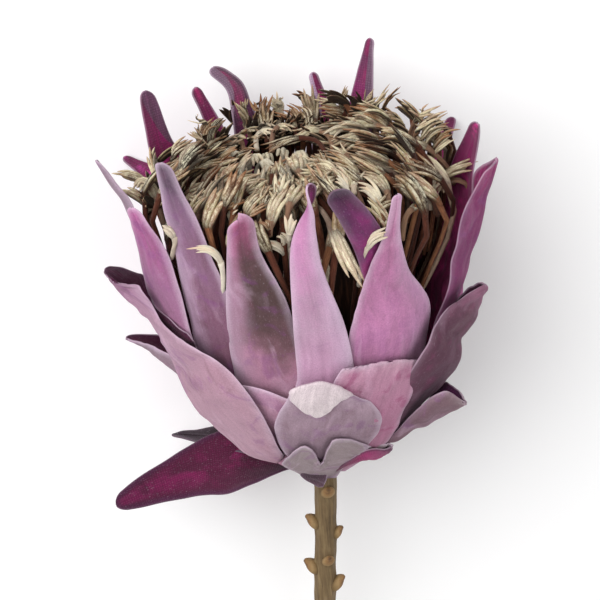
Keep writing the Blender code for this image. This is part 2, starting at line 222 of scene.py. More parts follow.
def crumpled(x, y, size, seed):
    # Gentle uneven waves over a sheet, about -1 to 1, with folds of about this size in millimetres
    pick = np.random.default_rng(seed)
    total = 0
    for k in range(7):
        angle = pick.uniform(0, math.pi)
        waveLength = size * pick.uniform(0.6, 1.7)
        phase = pick.uniform(0, 2 * math.pi)
        bend = pick.uniform(-0.4, 0.4)
        run = (x * math.cos(angle) + y * math.sin(angle)) * 2 * math.pi / waveLength
        total = total + np.sin(run + phase + bend * np.sin(run * 0.37 + phase * 2))
    return total / 3.2


def linked(name, data):
    item = bpy.data.objects.new(name, data)
    bpy.context.scene.collection.objects.link(item)
    return item


class Shape:
    # One piece's points and faces, with what its material reads at each point
    def __init__(self, marks, places=()):
        self.points = []
        self.faces = []
        self.uvs = []
        self.count = 0
        self.marks = {name: [] for name in marks}
        self.places = {name: [] for name in places}

    def addQuads(self, first, rows, width, u, v):
        # The faces between closed rings of points, one ring a row
        i, k = np.meshgrid(np.arange(rows - 1), np.arange(width), indexing="ij")
        i, k = i.ravel(), k.ravel()
        n = (k + 1) % width
        here, above = first + i * width, first + (i + 1) * width
        self.faces += np.stack([here + k, here + n, above + n, above + k], 1).tolist()
        corners = np.stack([u[k], v[i], u[k + 1], v[i], u[k + 1], v[i + 1], u[k], v[i + 1]], 1)
        self.uvs.append(corners.reshape(-1, 2))

    def tube(self, rings, cell, marks, places=None, caps=(True, True)):
        # Closed rings of points, one after the other, drawn in this cell of the piece's map
        rows, columns = rings.shape[:2]
        first = self.count
        read = {name: np.broadcast_to(np.asarray(marks[name], float), (rows, columns)) for name in self.marks}
        self.points.append(rings.reshape(-1, 3))
        for name in self.marks:
            self.marks[name].append(read[name].reshape(-1))
        for name in self.places:
            self.places[name].append(places[name].reshape(-1, 3))
        self.count += rows * columns
        left, low, right, high = cell
        u = left + (right - left) * np.arange(columns + 1) / columns
        margin = 0.02 * (high - low)
        v = low + margin + (high - low - 2 * margin) * np.arange(rows) / (rows - 1)
        self.addQuads(first, rows, columns, u, v)
        for end, row, edge, turned in ((0, 0, low, True), (1, rows - 1, high, False)):
            if not caps[end]:
                continue
            centre = self.count
            self.points.append(rings[row].mean(axis=0)[None])
            for name in self.marks:
                self.marks[name].append(read[name][row, :1])
            for name in self.places:
                self.places[name].append(places[name][row, :1])
            self.count += 1
            for k in range(columns):
                a, b = first + row * columns + k, first + row * columns + (k + 1) % columns
                self.faces.append([centre, b, a] if turned else [centre, a, b])
                ends = [(u[k], v[row]), (u[k + 1], v[row])]
                self.uvs.append(np.array([((u[k] + u[k + 1]) / 2, edge)] + (ends[::-1] if turned else ends)))

    def sheet(self, outer, inner, rim, marks, places):
        # A thick cloth: its two faces and a rounded rim between them, each row of it one closed ring
        rows, columns = outer.shape[:2]
        leftRim, rightRim = rim
        rings = np.concatenate([outer, rightRim[:, None], inner[:, ::-1], leftRim[:, None]], axis=1)
        first = self.count
        width = 2 * columns + 2
        self.points.append(rings.reshape(-1, 3))
        for name, value in marks.items():
            self.marks[name].append(value.reshape(-1))
        for name, value in places.items():
            self.places[name].append(value.reshape(-1, 3))
        self.count += rows * width
        seam = 0.012
        front, back = np.linspace(seam, 0.5 - seam, columns), np.linspace(0.5 + seam, 1 - seam, columns)
        u = np.concatenate([front, [0.5], back, [1.0, 1.0 + seam]]) / (1.0 + seam)
        v = np.linspace(seam, 1 - seam, rows)
        self.addQuads(first, rows, width, u, v)
        for row, turned, edge in ((0, True, 0), (rows - 1, False, 1)):
            base = first + row * width
            for k in range(columns - 1):
                a, b = base + k, base + k + 1
                c, d = base + width - 2 - k - 1, base + width - 2 - k
                face = [a, d, c, b] if turned else [a, b, c, d]
                self.faces.append(face)
                near = [(u[k], v[row]), (u[k], edge), (u[k + 1], edge), (u[k + 1], v[row])]
                self.uvs.append(np.array(near if turned else [near[0], near[3], near[2], near[1]]))
            for a, b, c in ((base + columns - 1, base + columns, base + columns + 1),
                            (base + width - 2, base + width - 1, base)):
                self.faces.append([a, c, b] if turned else [a, b, c])
                at = u[min(a - base, width - 2)]
                spot = [(at, v[row]), (at + 0.004, v[row]), (at + 0.002, edge)]
                self.uvs.append(np.array([spot[0], spot[2], spot[1]] if turned else spot))

    def build(self, name, material, nodes):
        mesh = bpy.data.meshes.new(name)
        mesh.from_pydata(lying(np.concatenate(self.points)).tolist(), [], self.faces)
        layer = mesh.uv_layers.new(name="OFBake")
        layer.uv.foreach_set("vector", np.concatenate(self.uvs).astype(np.float32).ravel())
        for mark, values in self.marks.items():
            mesh.attributes.new(mark, "FLOAT", "POINT").data.foreach_set("value", np.concatenate(values))
        for place, values in self.places.items():
            data = mesh.attributes.new(place, "FLOAT_VECTOR", "POINT").data
            data.foreach_set("vector", np.concatenate(values).ravel())
        mesh.shade_smooth()
        mesh.materials.append(material)
        item = linked(name, mesh)
        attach(item, "root")
        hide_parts(*nodes)


# Bracts

bladed = (0.26, 0.64, 0.90, 1.0, 0.98, 0.90, 0.76, 0.56, 0.34)      # half widths from root to tip
broad = (0.26, 0.62, 0.88, 1.0, 1.0, 0.98, 0.94, 0.84, 0.60)
cup = {
    "tall": (52, 45, 28, 10, 8, 13, 20), "reach": 124, "innerStart": (6, 7.8), "outerStart": (6.4, 2.8),
    "roundingAt": (0, 0.2, 0.45, 0.7, 1), "rounding": (12, 34, 44, 30, 8), "most": 1.2,
    "wallDepth": 2.7, "wallTop": 0.72, "wallFoot": (4.5, 3.0), "clear": 0.8, "clearPerLift": 0.9,
    "flared": (58, 50, 32, 22, 34, 50), "hug": (54, 47, 34, 18, 12, 10),
}
cloth = {
    "thick": 0.75, "rows": 84, "columns": 27, "crowding": 1.45, "rim": 0.16, "thinEdge": 0.9, "tip": 1.15,
    "crumple": 0.34, "crumpleSize": 17, "pleat": 0.11, "pleatSize": 4.4, "ruffle": 0.5, "ruffleSize": 26,
    "crease": 0.25, "creaseWidth": 0.1, "edgeFrom": 0.25, "folds": ((0.24, 9), (0.1, 3.6)),
}
dye = {            # what a bract's colours start from where its row says nothing else
    "stain": (126, 66, 128), "violet": 0.34, "smokeColour": (112, 78, 88), "smoke": 0.4, "bright": 0.2,
    "pale": 0.6, "paleWidth": 2.8, "glow": (176, 36, 108), "glowAmount": 0.5, "innerEdge": 0.6,
    "threads": 1.0, "rim": 0.8, "brightColour": (226, 192, 216), "litColour": (208, 180, 206),
    "paleColour": (214, 194, 212), "edgeColour": (70, 30, 58), "rimColour": (206, 182, 200),
    "flock": 0.14, "flockColour": (235, 222, 234), "sheen": (236, 214, 232),
}
weaving = {        # how finely the cloth's patterns run, and how far they stand out
    "patch": 0.085, "streak": (0.5, 0.05, 1), "grain": 2.3, "fibre": (3.2, 1.1, 1), "violet": 0.12,
    "smoke": (0.16, 0.07, 1), "bright": (0.13, 0.06, 1), "threads": 0.42, "threadBend": 0.3,
    "bump": 0.6, "bumpDepth": 0.00026,
}

# Each look's colours run from root to tip, outside and inside, as the cloth shows them in soft light, so
# they hold painted shade: most grow darker toward the root, where the bracts overlap in the cup. Where it
# names none for the inside, that is magenta.
magenta = ((0, (70, 16, 42)), (0.35, (122, 24, 76)), (0.65, (158, 34, 102)), (0.88, (134, 40, 92)),
           (1, (96, 48, 74)))
plum = ((0, (44, 14, 30)), (0.4, (82, 24, 54)), (0.75, (66, 20, 44)), (1, (50, 22, 38)))
looks = {
    "lilac": {"outer": ((0, (138, 80, 116)), (0.18, (160, 100, 138)), (0.38, (204, 156, 188)),
                        (0.65, (182, 146, 170)), (0.85, (196, 136, 176)), (1, (160, 84, 142)))},
    "rose": {"outer": ((0, (184, 136, 156)), (0.18, (222, 186, 200)), (0.36, (224, 178, 198)),
                       (0.5, (176, 126, 150)), (0.64, (132, 92, 106)), (0.84, (138, 84, 108)),
                       (0.93, (168, 86, 126)), (1, (184, 94, 140)))},
    "orchid": {"outer": ((0, (140, 88, 112)), (0.22, (130, 78, 102)), (0.4, (158, 102, 134)),
                         (0.6, (196, 132, 174)), (0.85, (190, 124, 164)), (0.95, (196, 136, 170)),
                         (1, (206, 140, 182)))},
    "smoky": {"outer": ((0, (140, 90, 114)), (0.25, (104, 62, 82)), (0.5, (114, 74, 94)),
                        (0.7, (132, 94, 118)), (0.84, (134, 98, 126)), (0.92, (108, 82, 104)),
                        (1, (78, 60, 76)))},
    "mauve": {"outer": ((0, (190, 136, 164)), (0.25, (230, 178, 206)), (0.5, (184, 130, 162)),
                        (0.75, (154, 104, 138)), (0.92, (162, 90, 138)), (1, (182, 98, 152)))},
    "berry": {"outer": ((0, (140, 76, 114)), (0.3, (212, 114, 176)), (0.5, (158, 68, 124)),
                        (0.7, (122, 54, 98)), (0.88, (130, 50, 100)), (1, (150, 56, 106)))},
    "blush": {"outer": ((0, (150, 104, 124)), (0.35, (168, 108, 136)), (0.6, (176, 122, 148)),
                        (0.85, (186, 136, 160)), (1, (206, 164, 182)))},
    "wine": {"outer": ((0, (150, 96, 120)), (0.5, (140, 44, 106)), (0.72, (160, 40, 116)),
                       (0.84, (124, 52, 104)), (0.92, (92, 44, 78)), (1, (48, 26, 44)))},
    "dusky": {"outer": ((0, (92, 56, 74)), (0.35, (92, 60, 76)), (0.6, (88, 54, 70)), (0.8, (96, 62, 78)),
                        (1, (130, 80, 104))), "inner": plum},
    "pale": {"outer": ((0, (168, 122, 140)), (0.15, (180, 142, 158)), (0.4, (166, 128, 144)),
                       (0.6, (170, 134, 152)), (0.85, (162, 124, 148)), (1, (120, 84, 104))), "inner": plum},
    "grey": {"outer": ((0, (136, 106, 120)), (0.4, (150, 124, 138)), (0.8, (142, 122, 132)),
                       (1, (112, 78, 98))), "inner": plum},
    # painted shade: near-black cloth for a bract that lies in shade
    "dark": {"outer": ((0, (50, 36, 42)), (0.4, (42, 32, 36)), (1, (34, 24, 30))), "inner": plum},
    "silver": {"outer": ((0, (122, 98, 110)), (0.4, (158, 132, 146)), (0.7, (178, 154, 168)),
                         (0.85, (186, 168, 176)), (1, (176, 152, 160))),
               "inner": ((0, (60, 24, 44)), (0.6, (196, 176, 186)), (1, (222, 208, 210)))},
    "ash": {"outer": ((0, (96, 78, 84)), (0.5, (140, 124, 126)), (1, (150, 134, 136))),
            "inner": ((0, (34, 12, 24)), (0.6, (60, 26, 42)), (1, (120, 92, 102)))},
    "drab": {"outer": ((0, (112, 80, 92)), (0.4, (112, 84, 94)), (0.75, (120, 94, 102)),
                       (1, (146, 128, 130))),
             "inner": ((0, (44, 14, 30)), (0.5, (72, 24, 62)), (1, (84, 30, 74)))},
    "curl": {"inner": ((0, (60, 14, 38)), (0.5, (150, 34, 104)), (0.72, (120, 34, 88)), (0.85, (78, 46, 68)),
                       (1, (104, 84, 98)))},
    "ember": {"inner": ((0, (70, 16, 42)), (0.5, (140, 30, 96)), (0.78, (160, 44, 118)), (0.9, (120, 56, 94)),
                        (1, (88, 56, 78)))},
}

# The tall inner whorl: turn and length place a bract, lean and sway bend it, lift layers it and half gives
# its half width from root to tip. Bow moves it sideways on its way up, push outward, and roll turns it.
tallBracts = {
    "front": dict(
        turn=1, length=125.5, lean=-4, sway=3, lift=1.8, look="lilac", lit=(1, 0.5), glow=(172, 44, 140),
        glowAmount=1.0, innerEdge=0.25, violet=0.12, smoke=0.16,
        half=(1.9, 5.6, 7.9, 8.6, 8.2, 7.2, 5.0, 3.8, 3.0), bow=(0, 0, 0, 0, 1.2, 0, -2.3, -2.6, 0),
        roll=(0, 0, 0, 0, 0, 0, 0, -52, -128), rounding=(12, 26, 40, 44, 40, 34, 14, 4.2, 3.4)),
    "front_left": dict(
        turn=-18, length=115.5, lean=-4, sway=-4, lift=0.8, look="rose", skew=1.6,
        shade=(0.48, 1.06, 1.0, (80, 60, 60)), smoke=0.1, lit=(-1, 0.3),
        half=(2.8, 8.0, 11.2, 12.5, 12.0, 11.0, 9.2, 5.4, 4.2), bow=(0, 0, 0, 0, 0, -1.0, -0.8, -1.8, 0)),
    "left_tall": dict(
        turn=-39, length=131, lean=-3, sway=-4, lift=-0.2, look="smoky", lit=(-1, 0.45),
        half=(2.1, 6.1, 8.6, 9.6, 9.8, 9.2, 7.6, 5.8, 2.8),
        bow=(0, 0, 0, -0.8, -2.0, -3.6, -4.0, -4.8, -3.4)),
    "left": dict(
        turn=-68, length=113, lean=3, sway=3, lift=-1.2, look="mauve", roll=(0, 12, 16),
        half=(2.4, 7.0, 9.9, 11.0, 10.6, 9.2, 8.4, 6.8, 2.6), push=(0, 0.5, 4, 4.6, 4)),
    "left_edge": dict(
        turn=-85, length=123.5, lean=10, sway=5, lift=-2.2, look="grey", roll=(0, 9, 14),
        half=(2.1, 6.1, 8.6, 9.5, 9.0, 7.6, 5.2, 2.9, 1.1), push=(0, 0, 1.4, 2.2, 1.4)),
    "back_left": dict(
        turn=-116, length=125, lean=1, sway=-11, lift=0.6, look="berry", pale=0.2, innerEdge=0.1,
        glow=(190, 44, 132), glowAmount=0.8, facet=(-1, -1, 13, (104, 72, 96), 0.85),
        half=(2.6, 7.7, 10.8, 12.0, 13.0, 14.0, 12.0, 5.8, 3.0), bow=(0, 0, 0, 0, 0, -1.4, -0.8, 1.4, 1.0)),
    "back_left_low": dict(turn=-137, length=92, width=22, lean=0, lift=-1.4, shape=bladed, look="berry"),
    "back_slim_left": dict(
        turn=-154, length=120, lean=0, sway=6, lift=-0.4, look="lilac", innerEdge=0.2, glowAmount=0.8,
        glow=(190, 50, 116), half=(1.9, 5.4, 7.7, 8.5, 8.5, 8.3, 5.8, 2.8, 2.0),
        bow=(0, 0, 0, 0, 0, -0.6, -1.6, 0.6, 2.5)),
    "back_curl": dict(
        turn=-171, length=124.5, lean=1, sway=14, lift=0.6, look="smoky", innerLook="curl",
        facet=(1, -0.4, 10, (136, 112, 132), 0.85), innerEdge=0.2,
        half=(2.1, 6.1, 8.6, 9.5, 9.5, 9.3, 6.5, 3.4, 2.4),
        bow=(0, 0, 0, 0, 0, 0, 0, 0, 0, 0, 0, -0.3, -0.6, -0.7, -0.9, -1.3, 2.6)),
    "back_slim": dict(
        turn=165, length=118, lean=0, sway=7, lift=-0.4, look="orchid",
        facet=(1, 0.1, 2, (186, 158, 186), 0.9), innerEdge=0.2,
        half=(1.9, 5.4, 7.7, 8.5, 8.5, 8.3, 5.8, 2.8, 1.3), bow=(0, 0, 0, 0, 0, 0, 0, -2.0, 0)),
    "back_right": dict(
        turn=156, length=129, lean=0, sway=-4, lift=0.6, look="smoky", innerLook="ember",
        facet=(-1, 0.1, 1, (112, 86, 106), 0.9), innerEdge=0.2,
        half=(2.1, 6.1, 8.6, 9.5, 9.5, 9.3, 6.6, 3.4, 1.5), bow=(0, 0, 0, 0, 0, 0, 0.4, 1.0, 0.4)),
    "back_right_low": dict(turn=129, length=94, width=24, lean=0, lift=-1.4, shape=bladed, look="rose"),
    "right_back": dict(
        turn=99, length=119.4, lean=1, sway=-11, lift=-0.4, look="smoky", roll=(0, 12, 24),
        glow=(206, 52, 136), glowAmount=1.0, innerEdge=0.15,
        half=(2.4, 7.0, 9.9, 11.0, 11.0, 10.6, 8.4, 6.0, 3.2), push=(0, 0, 0, 2.4, 1.5)),
    "right": dict(
        turn=78, length=120, lean=10, sway=-10, lift=0.6, look="berry", roll=(0, -12, -18), pale=0.2,
        bright=0.1, smoke=0.5, smokeColour=(104, 58, 92), rightEdge=(0, 0, 0, 0, 0, -1, -4, -6, -0.6),
        leftEdge=(0, 0, 0, 0, 0, 0, 0, 1.4, 0.2), glowAmount=0.7, innerEdge=0.1, glow=(196, 70, 146),
        half=(2.6, 7.7, 10.8, 11.4, 10.4, 8.6, 8.2, 8.4, 4.4), push=(0, 0, 1, 3.6, 2.6)),
    "front_turned": dict(
        turn=46, length=124, lean=-2, sway=-35, lift=-1.2, look="wine", pale=0.15, rim=0.35, violet=0.15,
        bright=0.04, smoke=0.6, smokeColour=(84, 50, 88), half=(2.1, 6.1, 8.6, 9.3, 8.6, 7.2, 5.6, 4.4, 3.4),
        bow=(0, 0, 0, 0, 0.6, 1.2, 1.4, 0.4, -1.0)),
    "front_right": dict(
        turn=32, length=117, lean=-3, sway=0, lift=0.7, look="orchid", violet=0.16, smoke=0.3, lit=(1, 0.3),
        half=(3.2, 9.3, 13.1, 14.5, 14.5, 14.6, 8.6, 3.6, 1.6), bow=(0, 0, 0, 0, 1.0, 1.8, -0.8, -0.3, 0.5)),
}

# The loose outer whorl, each bract with its headings from root to tip
looseBracts = {
    "left_reflexed": dict(
        turn=-104, length=62, headings=(80, 94, 102, 108, 110, 110), sway=8, twist=-48, lift=0, look="dusky",
        glow=(150, 28, 98), glowAmount=0.3, rim=0.12, innerEdge=0.9,
        half=(3.4, 10.0, 12.6, 12.4, 10.4, 8.0, 6.2, 4.6, 2.6), bow=(0, 0, 0.4, 0.4, 0, 0, 0, 0, 0)),
    # painted shade: this bract's cloth is coloured near black for the shade it lies in
    "left_under": dict(
        turn=-124, length=48, width=14, headings=(84, 86, 90, 92, 94, 96), sway=4, lift=0, shape=bladed,
        look="dark", pale=0.1, rim=0.2, bright=0, violet=0.1, smoke=0.1),
    "front_low_left": dict(
        turn=-27, length=60, width=29, headings=cup["hug"], lift=0.6, shape=broad, look="blush"),
    "back_rest_right": dict(
        turn=131, length=114.5, headings=cup["flared"], sway=9, lift=0.8, look="grey", innerLook="lilac",
        glow=(196, 48, 138), glowAmount=0.9, innerEdge=0.1, push=(0, 0, 0, 0, 0.2, 1.0),
        half=(2.6, 6.4, 9.0, 10.0, 9.6, 8.6, 6.0, 3.2, 1.8)),
    "back_rest_left": dict(
        turn=-149, length=115, headings=cup["flared"], sway=8, lift=0.8, look="pale", innerLook="lilac",
        glow=(200, 70, 156), glowAmount=0.9, innerEdge=0.1, push=(0, 0, 0, 0, 1.4, 4.6),
        half=(2.7, 6.7, 9.5, 10.5, 10.3, 9.5, 8.0, 5.2, 1.6), bow=(0, 0, 0, 0, 0, 0, 0, 2.6, 5.6)),
    "right_hidden": dict(
        turn=103, length=72, width=25, headings=(56, 48, 32, 20, 26, 36), lift=0.6, shape=bladed,
        look="dusky"),
    "back_hidden_right": dict(
        turn=164, length=58, width=23, headings=cup["hug"], lift=0.6, shape=bladed, look="grey"),
    "back_hidden_left": dict(
        turn=-172, length=56, width=23, headings=cup["hug"], lift=1.7, shape=bladed, look="grey"),
}

# The bracts at the front of the base, traced from the photo: rows of places from root to tip, each from left
# to right. A place is pixels right and down, and millimetres toward the camera or off the wall of the cup,
# which stands this far toward the camera at these heights of the picture and falls away to its sides.
wall = {
    "heights": (340, 360, 385, 400, 415, 430, 440, 450, 460, 470, 478, 486),
    "toward": (47, 45, 40.5, 36.5, 31.5, 25.5, 20.5, 14.5, 7, -5, -17, -26),
    "fallHeights": (400, 415, 430, 443, 455, 470), "fall": (0.0016, 0.0018, 0.0023, 0.003, 0.0038, 0.005),
    "middle": 308, "clear": 3.5, "perLift": 0.95,
}


def overWall(x, y, lift):
    toward = np.interp(y, wall["heights"], wall["toward"])
    fall = np.interp(y, wall["fallHeights"], wall["fall"])
    return x, y, toward - fall * (x - wall["middle"]) ** 2 + (lift - wall["clear"]) * wall["perLift"]


foldX = (290, 296, 308, 320, 331, 343, 353)
foldY = np.array((392.5, 388.3, 385, 382.5, 385, 389.3, 393.8))
# A fold's row holds its three outer places, the far side's, and how much it swells between them
baseBracts = {
    "left_long": dict(look="pale", pale=0.4, rim=1.0, glowAmount=0.2, leftFold=(
        ((287, 456, -9), (282, 460, -7), (277, 462.3, -4), (285, 456, 3), 1),
        ((262, 449, -4), (256, 453, -3), (250, 454.8, 1), overWall(278, 448, 5.5), 2.5),
        ((243, 430, 0), (236, 435, 0), (230, 439, 4), overWall(270, 430, 5), 3.5),
        ((224, 410, 2), (216, 416, 1.5), (209, 420.5, 6), overWall(259, 410, 5), 4),
        ((209, 394, 2), (201, 400, 2), (194, 405, 7), overWall(245, 390, 5), 4.5),
        ((198, 376, 3), (190, 382, 3), (184, 387, 8), overWall(231, 373.5, 5.2), 4),
        ((196, 357, 10), (185, 364, 7), (177, 369, 10), (213, 358.3, 33), 2.5),
        ((194, 341, 28.5), (180, 346, 19), (168, 351, 14), (193, 347.5, 31.5), 1.5),
        ((180.5, 328.5, 25), (168, 329, 19), (159, 334.5, 17), (175, 334.8, 27.5), 1.0),
        ((167, 317, 22), (156, 314.5, 18), (149.5, 319, 19), (161.5, 322.5, 25), 0.6),
        ((155, 305.8, 18.5), (147, 305, 16.5), (143, 311.5, 20), (156, 312, 24), 0.5),
        ((150, 294, 16.5), (142, 294, 16), (137, 306.2, 20.3), (151, 303.5, 24), 0.5),
        ((144.7, 276.7, 13.5), (137, 280, 15.5), (129, 299.3, 20.6), (142.5, 292, 24), 0.5),
        ((137, 272.4, 13.5), (130, 279, 17), (123, 294, 20.8), (138.5, 285.5, 24), 0.4),
        ((128, 269.5, 15), (122, 277, 18.5), (117, 286.5, 21), (129.5, 284.6, 23.6), 0.3),
        ((117, 266.8, 17), (113.5, 272, 19.5), (111.5, 280.5, 21.2), (119, 284, 22.8), 0.2),
        ((109.5, 266.4, 18.6), (107.5, 270.4, 20), (107.3, 275.4, 21), (110.5, 279, 22), 0.1),
        ((105.2, 267.8, 19.6), (104.3, 269.4, 20), (104.1, 271.6, 20.5), (105.3, 273.4, 21), 0.0),)),
    "left_low": dict(look="grey", rim=0.9, glowAmount=0.2, leftFold=(
        ((196, 372, -8), (192, 378, -8), (188, 382, -5), (196, 378, 2), 0.5),
        ((184, 352, -6), (180, 362, -7), (178, 373, -2), (190, 366, 6), 0.5),
        ((172, 341, -6), (169, 350, -6), (168, 365, 0), (178, 358.5, 6), 0.4),
        ((159, 335.6, -5), (157, 343, -4), (157, 355.3, 0.5), (166, 353, 5), 0.3),
        ((148, 334.4, -3), (146.5, 340, -2), (146, 347.6, 1), (153, 346.2, 4), 0.2),
        ((138, 334.6, -1.5), (137, 338, -0.5), (137, 343, 1.5), (141, 342.4, 3), 0.1),
        ((130, 335.3, 0), (130, 337.6, 0.8), (130, 340.4, 1.8), (131.5, 340.6, 2.4), 0.0),
        ((126, 337, 1), (125.8, 338, 1.3), (125.7, 339, 1.8), (126.2, 339.4, 2), 0.0),)),
    "right_long": dict(look="dusky", pale=0.15, stain=(140, 62, 104), violet=0.3, bright=0.08, rightFold=(
        ((372, 440, -4), (381, 441, -7), (380, 442, -9), (378, 443, -10), 0.5),
        ((380, 431, 5), (391, 430, 1), (389, 431, -3), (386, 432, -5), 1.0),
        ((388, 423, 10), (402, 422.5, 4), (399, 423, -1), (396, 424, -4), 1.6),
        ((393, 411, 15), (414, 411.5, 6), (410, 413, 0), (406, 414, -3), 2.2),
        ((398, 398, 19), (427, 398, 8), (422, 400, 2), (416, 401, -2), 2.8),
        ((403, 384, 22.5), (439, 387, 9), (433, 388, 3), (427, 388, -1), 3.2),
        ((411, 371, 25.5), (451, 373, 10), (445, 372, 4), (438, 371, 0), 3.4),
        ((420, 356.5, 28), (459.3, 359, 11), (453, 357, 5), (446, 355, 1), 3.4),
        ((427.5, 345, 29.3), (461, 347, 12), (455, 344, 6), (448, 341, 2), 3.2),
        ((431, 336, 29.6), (460.8, 338.5, 12.6), (456, 335, 7), (449, 331, 4), 2.6),
        ((433.8, 328.4, 29.4), (463, 334.6, 13), (459, 329, 8), (452, 323, 6), 1.2),
        ((437.5, 321.6, 28.6), (467.6, 329, 13.4), (463, 322, 9), (456, 315, 8), 2.0),
        ((442, 314.8, 27.4), (473.4, 320.4, 14), (467, 313, 10), (454, 306, 10), 2.4),
        ((448.5, 307.6, 26), (477, 311.6, 15), (470, 304.5, 12), (456, 301, 11.5), 2.2),
        ((456, 302, 24.4), (479.6, 303, 15.8), (473, 297, 13.5), (461, 294.9, 13), 1.8),
        ((464.5, 296.4, 22.6), (482, 297.3, 16.4), (476, 291.6, 14.8), (467, 289.4, 14.6), 1.4),
        ((472.6, 291.2, 21), (485, 292.3, 16.8), (480, 287.3, 16), (472.5, 285.6, 16), 0.9),
        ((479, 287.6, 19.8), (487.2, 288.2, 17.4), (484, 285, 17), (477.5, 283.6, 17), 0.4),
        ((483.5, 284.9, 18.8), (486.8, 285.6, 18), (485.3, 284, 17.8), (482, 283, 17.8), 0.1),)),
    "right_low": dict(look="drab", pale=0.2, glowAmount=0.1, rightFold=(
        ((384, 438.5, -3), (382, 443.4, -6), (380, 442, -8), (379, 440, -9), 0.3),
        ((395.5, 432, 5), (398, 439.4, 1), (395, 437, -3), (392, 434, -5), 0.8),
        ((406, 420.6, 11), (409.5, 431.2, 5), (406, 428, 0), (402, 424, -3), 1.2),
        ((414, 412.6, 15), (420, 426, 8), (416, 422, 3), (411, 417, -1), 1.5),
        ((422, 405.6, 18), (430, 422.4, 10), (425, 416, 4), (419, 410, 0), 1.8),
        ((430, 398.4, 20), (438.5, 417.4, 11.5), (433, 409, 5), (428, 400, 1), 1.9),
        ((438, 393.6, 21), (446.5, 413, 12.6), (442, 402, 6.5), (437.5, 388, 3), 1.8),
        ((445.5, 391.4, 21), (454, 409, 13.6), (449.9, 398, 8.5), (445, 382.3, 5.5), 1.5),
        ((452, 393.6, 20), (460, 406.4, 14.4), (457, 397, 10.5), (451.5, 384.8, 8.5), 1.0),
        ((457.6, 398.6, 18.6), (463.6, 404.8, 15), (461.5, 399, 12.6), (457.8, 390.6, 11.4), 0.6),
        ((461.8, 401.8, 17.2), (465.6, 404.2, 15.4), (464.6, 401.4, 14.4), (462.6, 397.2, 13.8), 0.2),
        ((465, 403.3, 16), (466.5, 404, 15.6), (466.4, 403, 15.2), (465.8, 401.9, 15), 0.0),)),
    "front_low_right": dict(look="blush", stain=(150, 60, 108), violet=0.5, rim=1.0, count=7, over=(
        ((318, 346), 470, 1.4),
        ((322, 386), 443, 2.0),
        ((326, 402), 415, 2.2),
        ((332, 414), 388, 2.2),
        ((340, 421), (372, 370, 368, 366, 364.5, 364, 364.5), 2.2),
        ((343, 355, 370, 385, 400, 412, 420), (369.5, 367.3, 364.6, 362.6, 361, 360, 360.5), 2.2))),
    "front_folded": dict(look="silver", glowAmount=0, innerEdge=0, threads=0.1, rim=1.0, count=7, over=(
        ((306, 338), 471, 2.6),
        ((284, 368), (452, 457, 461, 462, 460, 454, 444), 3.4),
        ((275, 379), (430, 434, 437, 438, 437, 434, 430), 3.6),
        ((279, 381), (413, 415, 416, 417, 417, 417, 416), 3.8),
        ((286, 371), (402, 401.5, 401, 401, 401, 401.5, 403), 4.2),
        (foldX, foldY + 1.5, 5.0),
        (foldX, foldY, 6.2),
        (foldX, foldY + 2, 7.4),
        ((290.5, 298, 308, 318, 328, 338, 348), (401, 400.5, 400, 399.5, 398.5, 397.5, 396.8),
         (7.4, 8, 8.4, 8.4, 8.2, 8, 7.8)),
        ((300, 304.5, 309.5, 316, 323, 330, 337), (409, 409.8, 410.4, 410.6, 409.6, 407.4, 404.6),
         (7.4, 7.8, 8.2, 8.4, 8.2, 8, 7.8)),
        ((311, 313.5, 316, 318.5, 321, 323.5, 326), (415.2, 416.4, 417.3, 417.6, 417, 415.8, 414.2), 7.8))),
    "front_small": dict(look="ash", rim=1.0, glowAmount=0.1, count=11, over=(
        ((308, 336), 477, 2.2),
        ((292, 298, 304, 309, 314, 319, 324, 329, 335, 341, 348),
         (469.5, 471, 472, 472, 472, 472.5, 472, 471, 469, 466, 462), 4.6),
        ((285, 291, 297, 305, 312, 319, 325, 332, 342, 353, 362),
         (466, 464, 462, 460, 463, 469, 465, 459, 455, 452.5, 452),
         (5.6, 5.8, 6.4, 7, 7.4, 8.4, 8, 7, 6.4, 6, 5.6)),
        ((281.5, 287, 293, 304, 313.5, 320.5, 326.5, 333, 345, 358, 371),
         (463.5, 457.5, 452.5, 446, 451, 464, 452, 440.5, 438.8, 441.5, 446),
         (6, 6.2, 7, 8, 8.4, 9.6, 8.8, 8, 7, 6.4, 6)))),
    "front_under": dict(look="ash", turned=True, rim=1.0, glowAmount=0, count=5, over=(
        ((302, 328), 470, 3),
        ((300, 327), (474.5, 475, 475, 475, 475), 6),
        ((306, 326), 480, 8.5),
        ((314, 324.5), 484.6, 9.8),
        ((318, 322.5), 486.6, 10.4))),
    "right_small": dict(look="ash", innerLook="lilac", rim=0.9, count=5, over=(
        ((338, 336, 336, 338, 340), (466, 470, 470, 464, 460), (4, 4, 3, 2, 2)),
        ((350, 349, 350, 352, 354), (459, 463.5, 463, 456, 453), (6.5, 5.5, 3, 2, 2)),
        ((362, 361, 362, 365, 366), (452.5, 459, 458, 449, 446), (7.5, 6.5, 3, 2, 2)),
        ((374, 374, 375, 375, 374.5), (449.2, 458, 456, 447, 443.8), (7.5, 6.5, 3, 2, 2)),
        ((385, 385, 385, 385, 385), (449, 454.5, 453, 447, 443.6), (7, 6.3, 3, 2, 2)),
        ((391.5, 392, 392.5, 393, 393), (446.8, 448.5, 447.6, 446, 444.6), (6, 6, 4, 3, 3)))),
}


def between(first, last, bulge):
    # Four places from one to the other that swell toward the camera
    first, last = np.array(first, float), np.array(last, float)
    places = []
    for share in (0.16, 0.36, 0.58, 0.8):
        place = first + (last - first) * share
        place[2] = first[2] + (last[2] - first[2]) * share**0.7 + bulge * math.sin(math.pi * share)
        places.append(tuple(place))
    return places


def acrossWall(x, y, lift, count):
    # One row over the wall: two x are the ends of an even row, and one y or lift holds all along it
    x = np.linspace(*x, count) if len(x) == 2 else x
    return [overWall(*place) for place in zip(x, np.broadcast_to(y, count), np.broadcast_to(lift, count))]


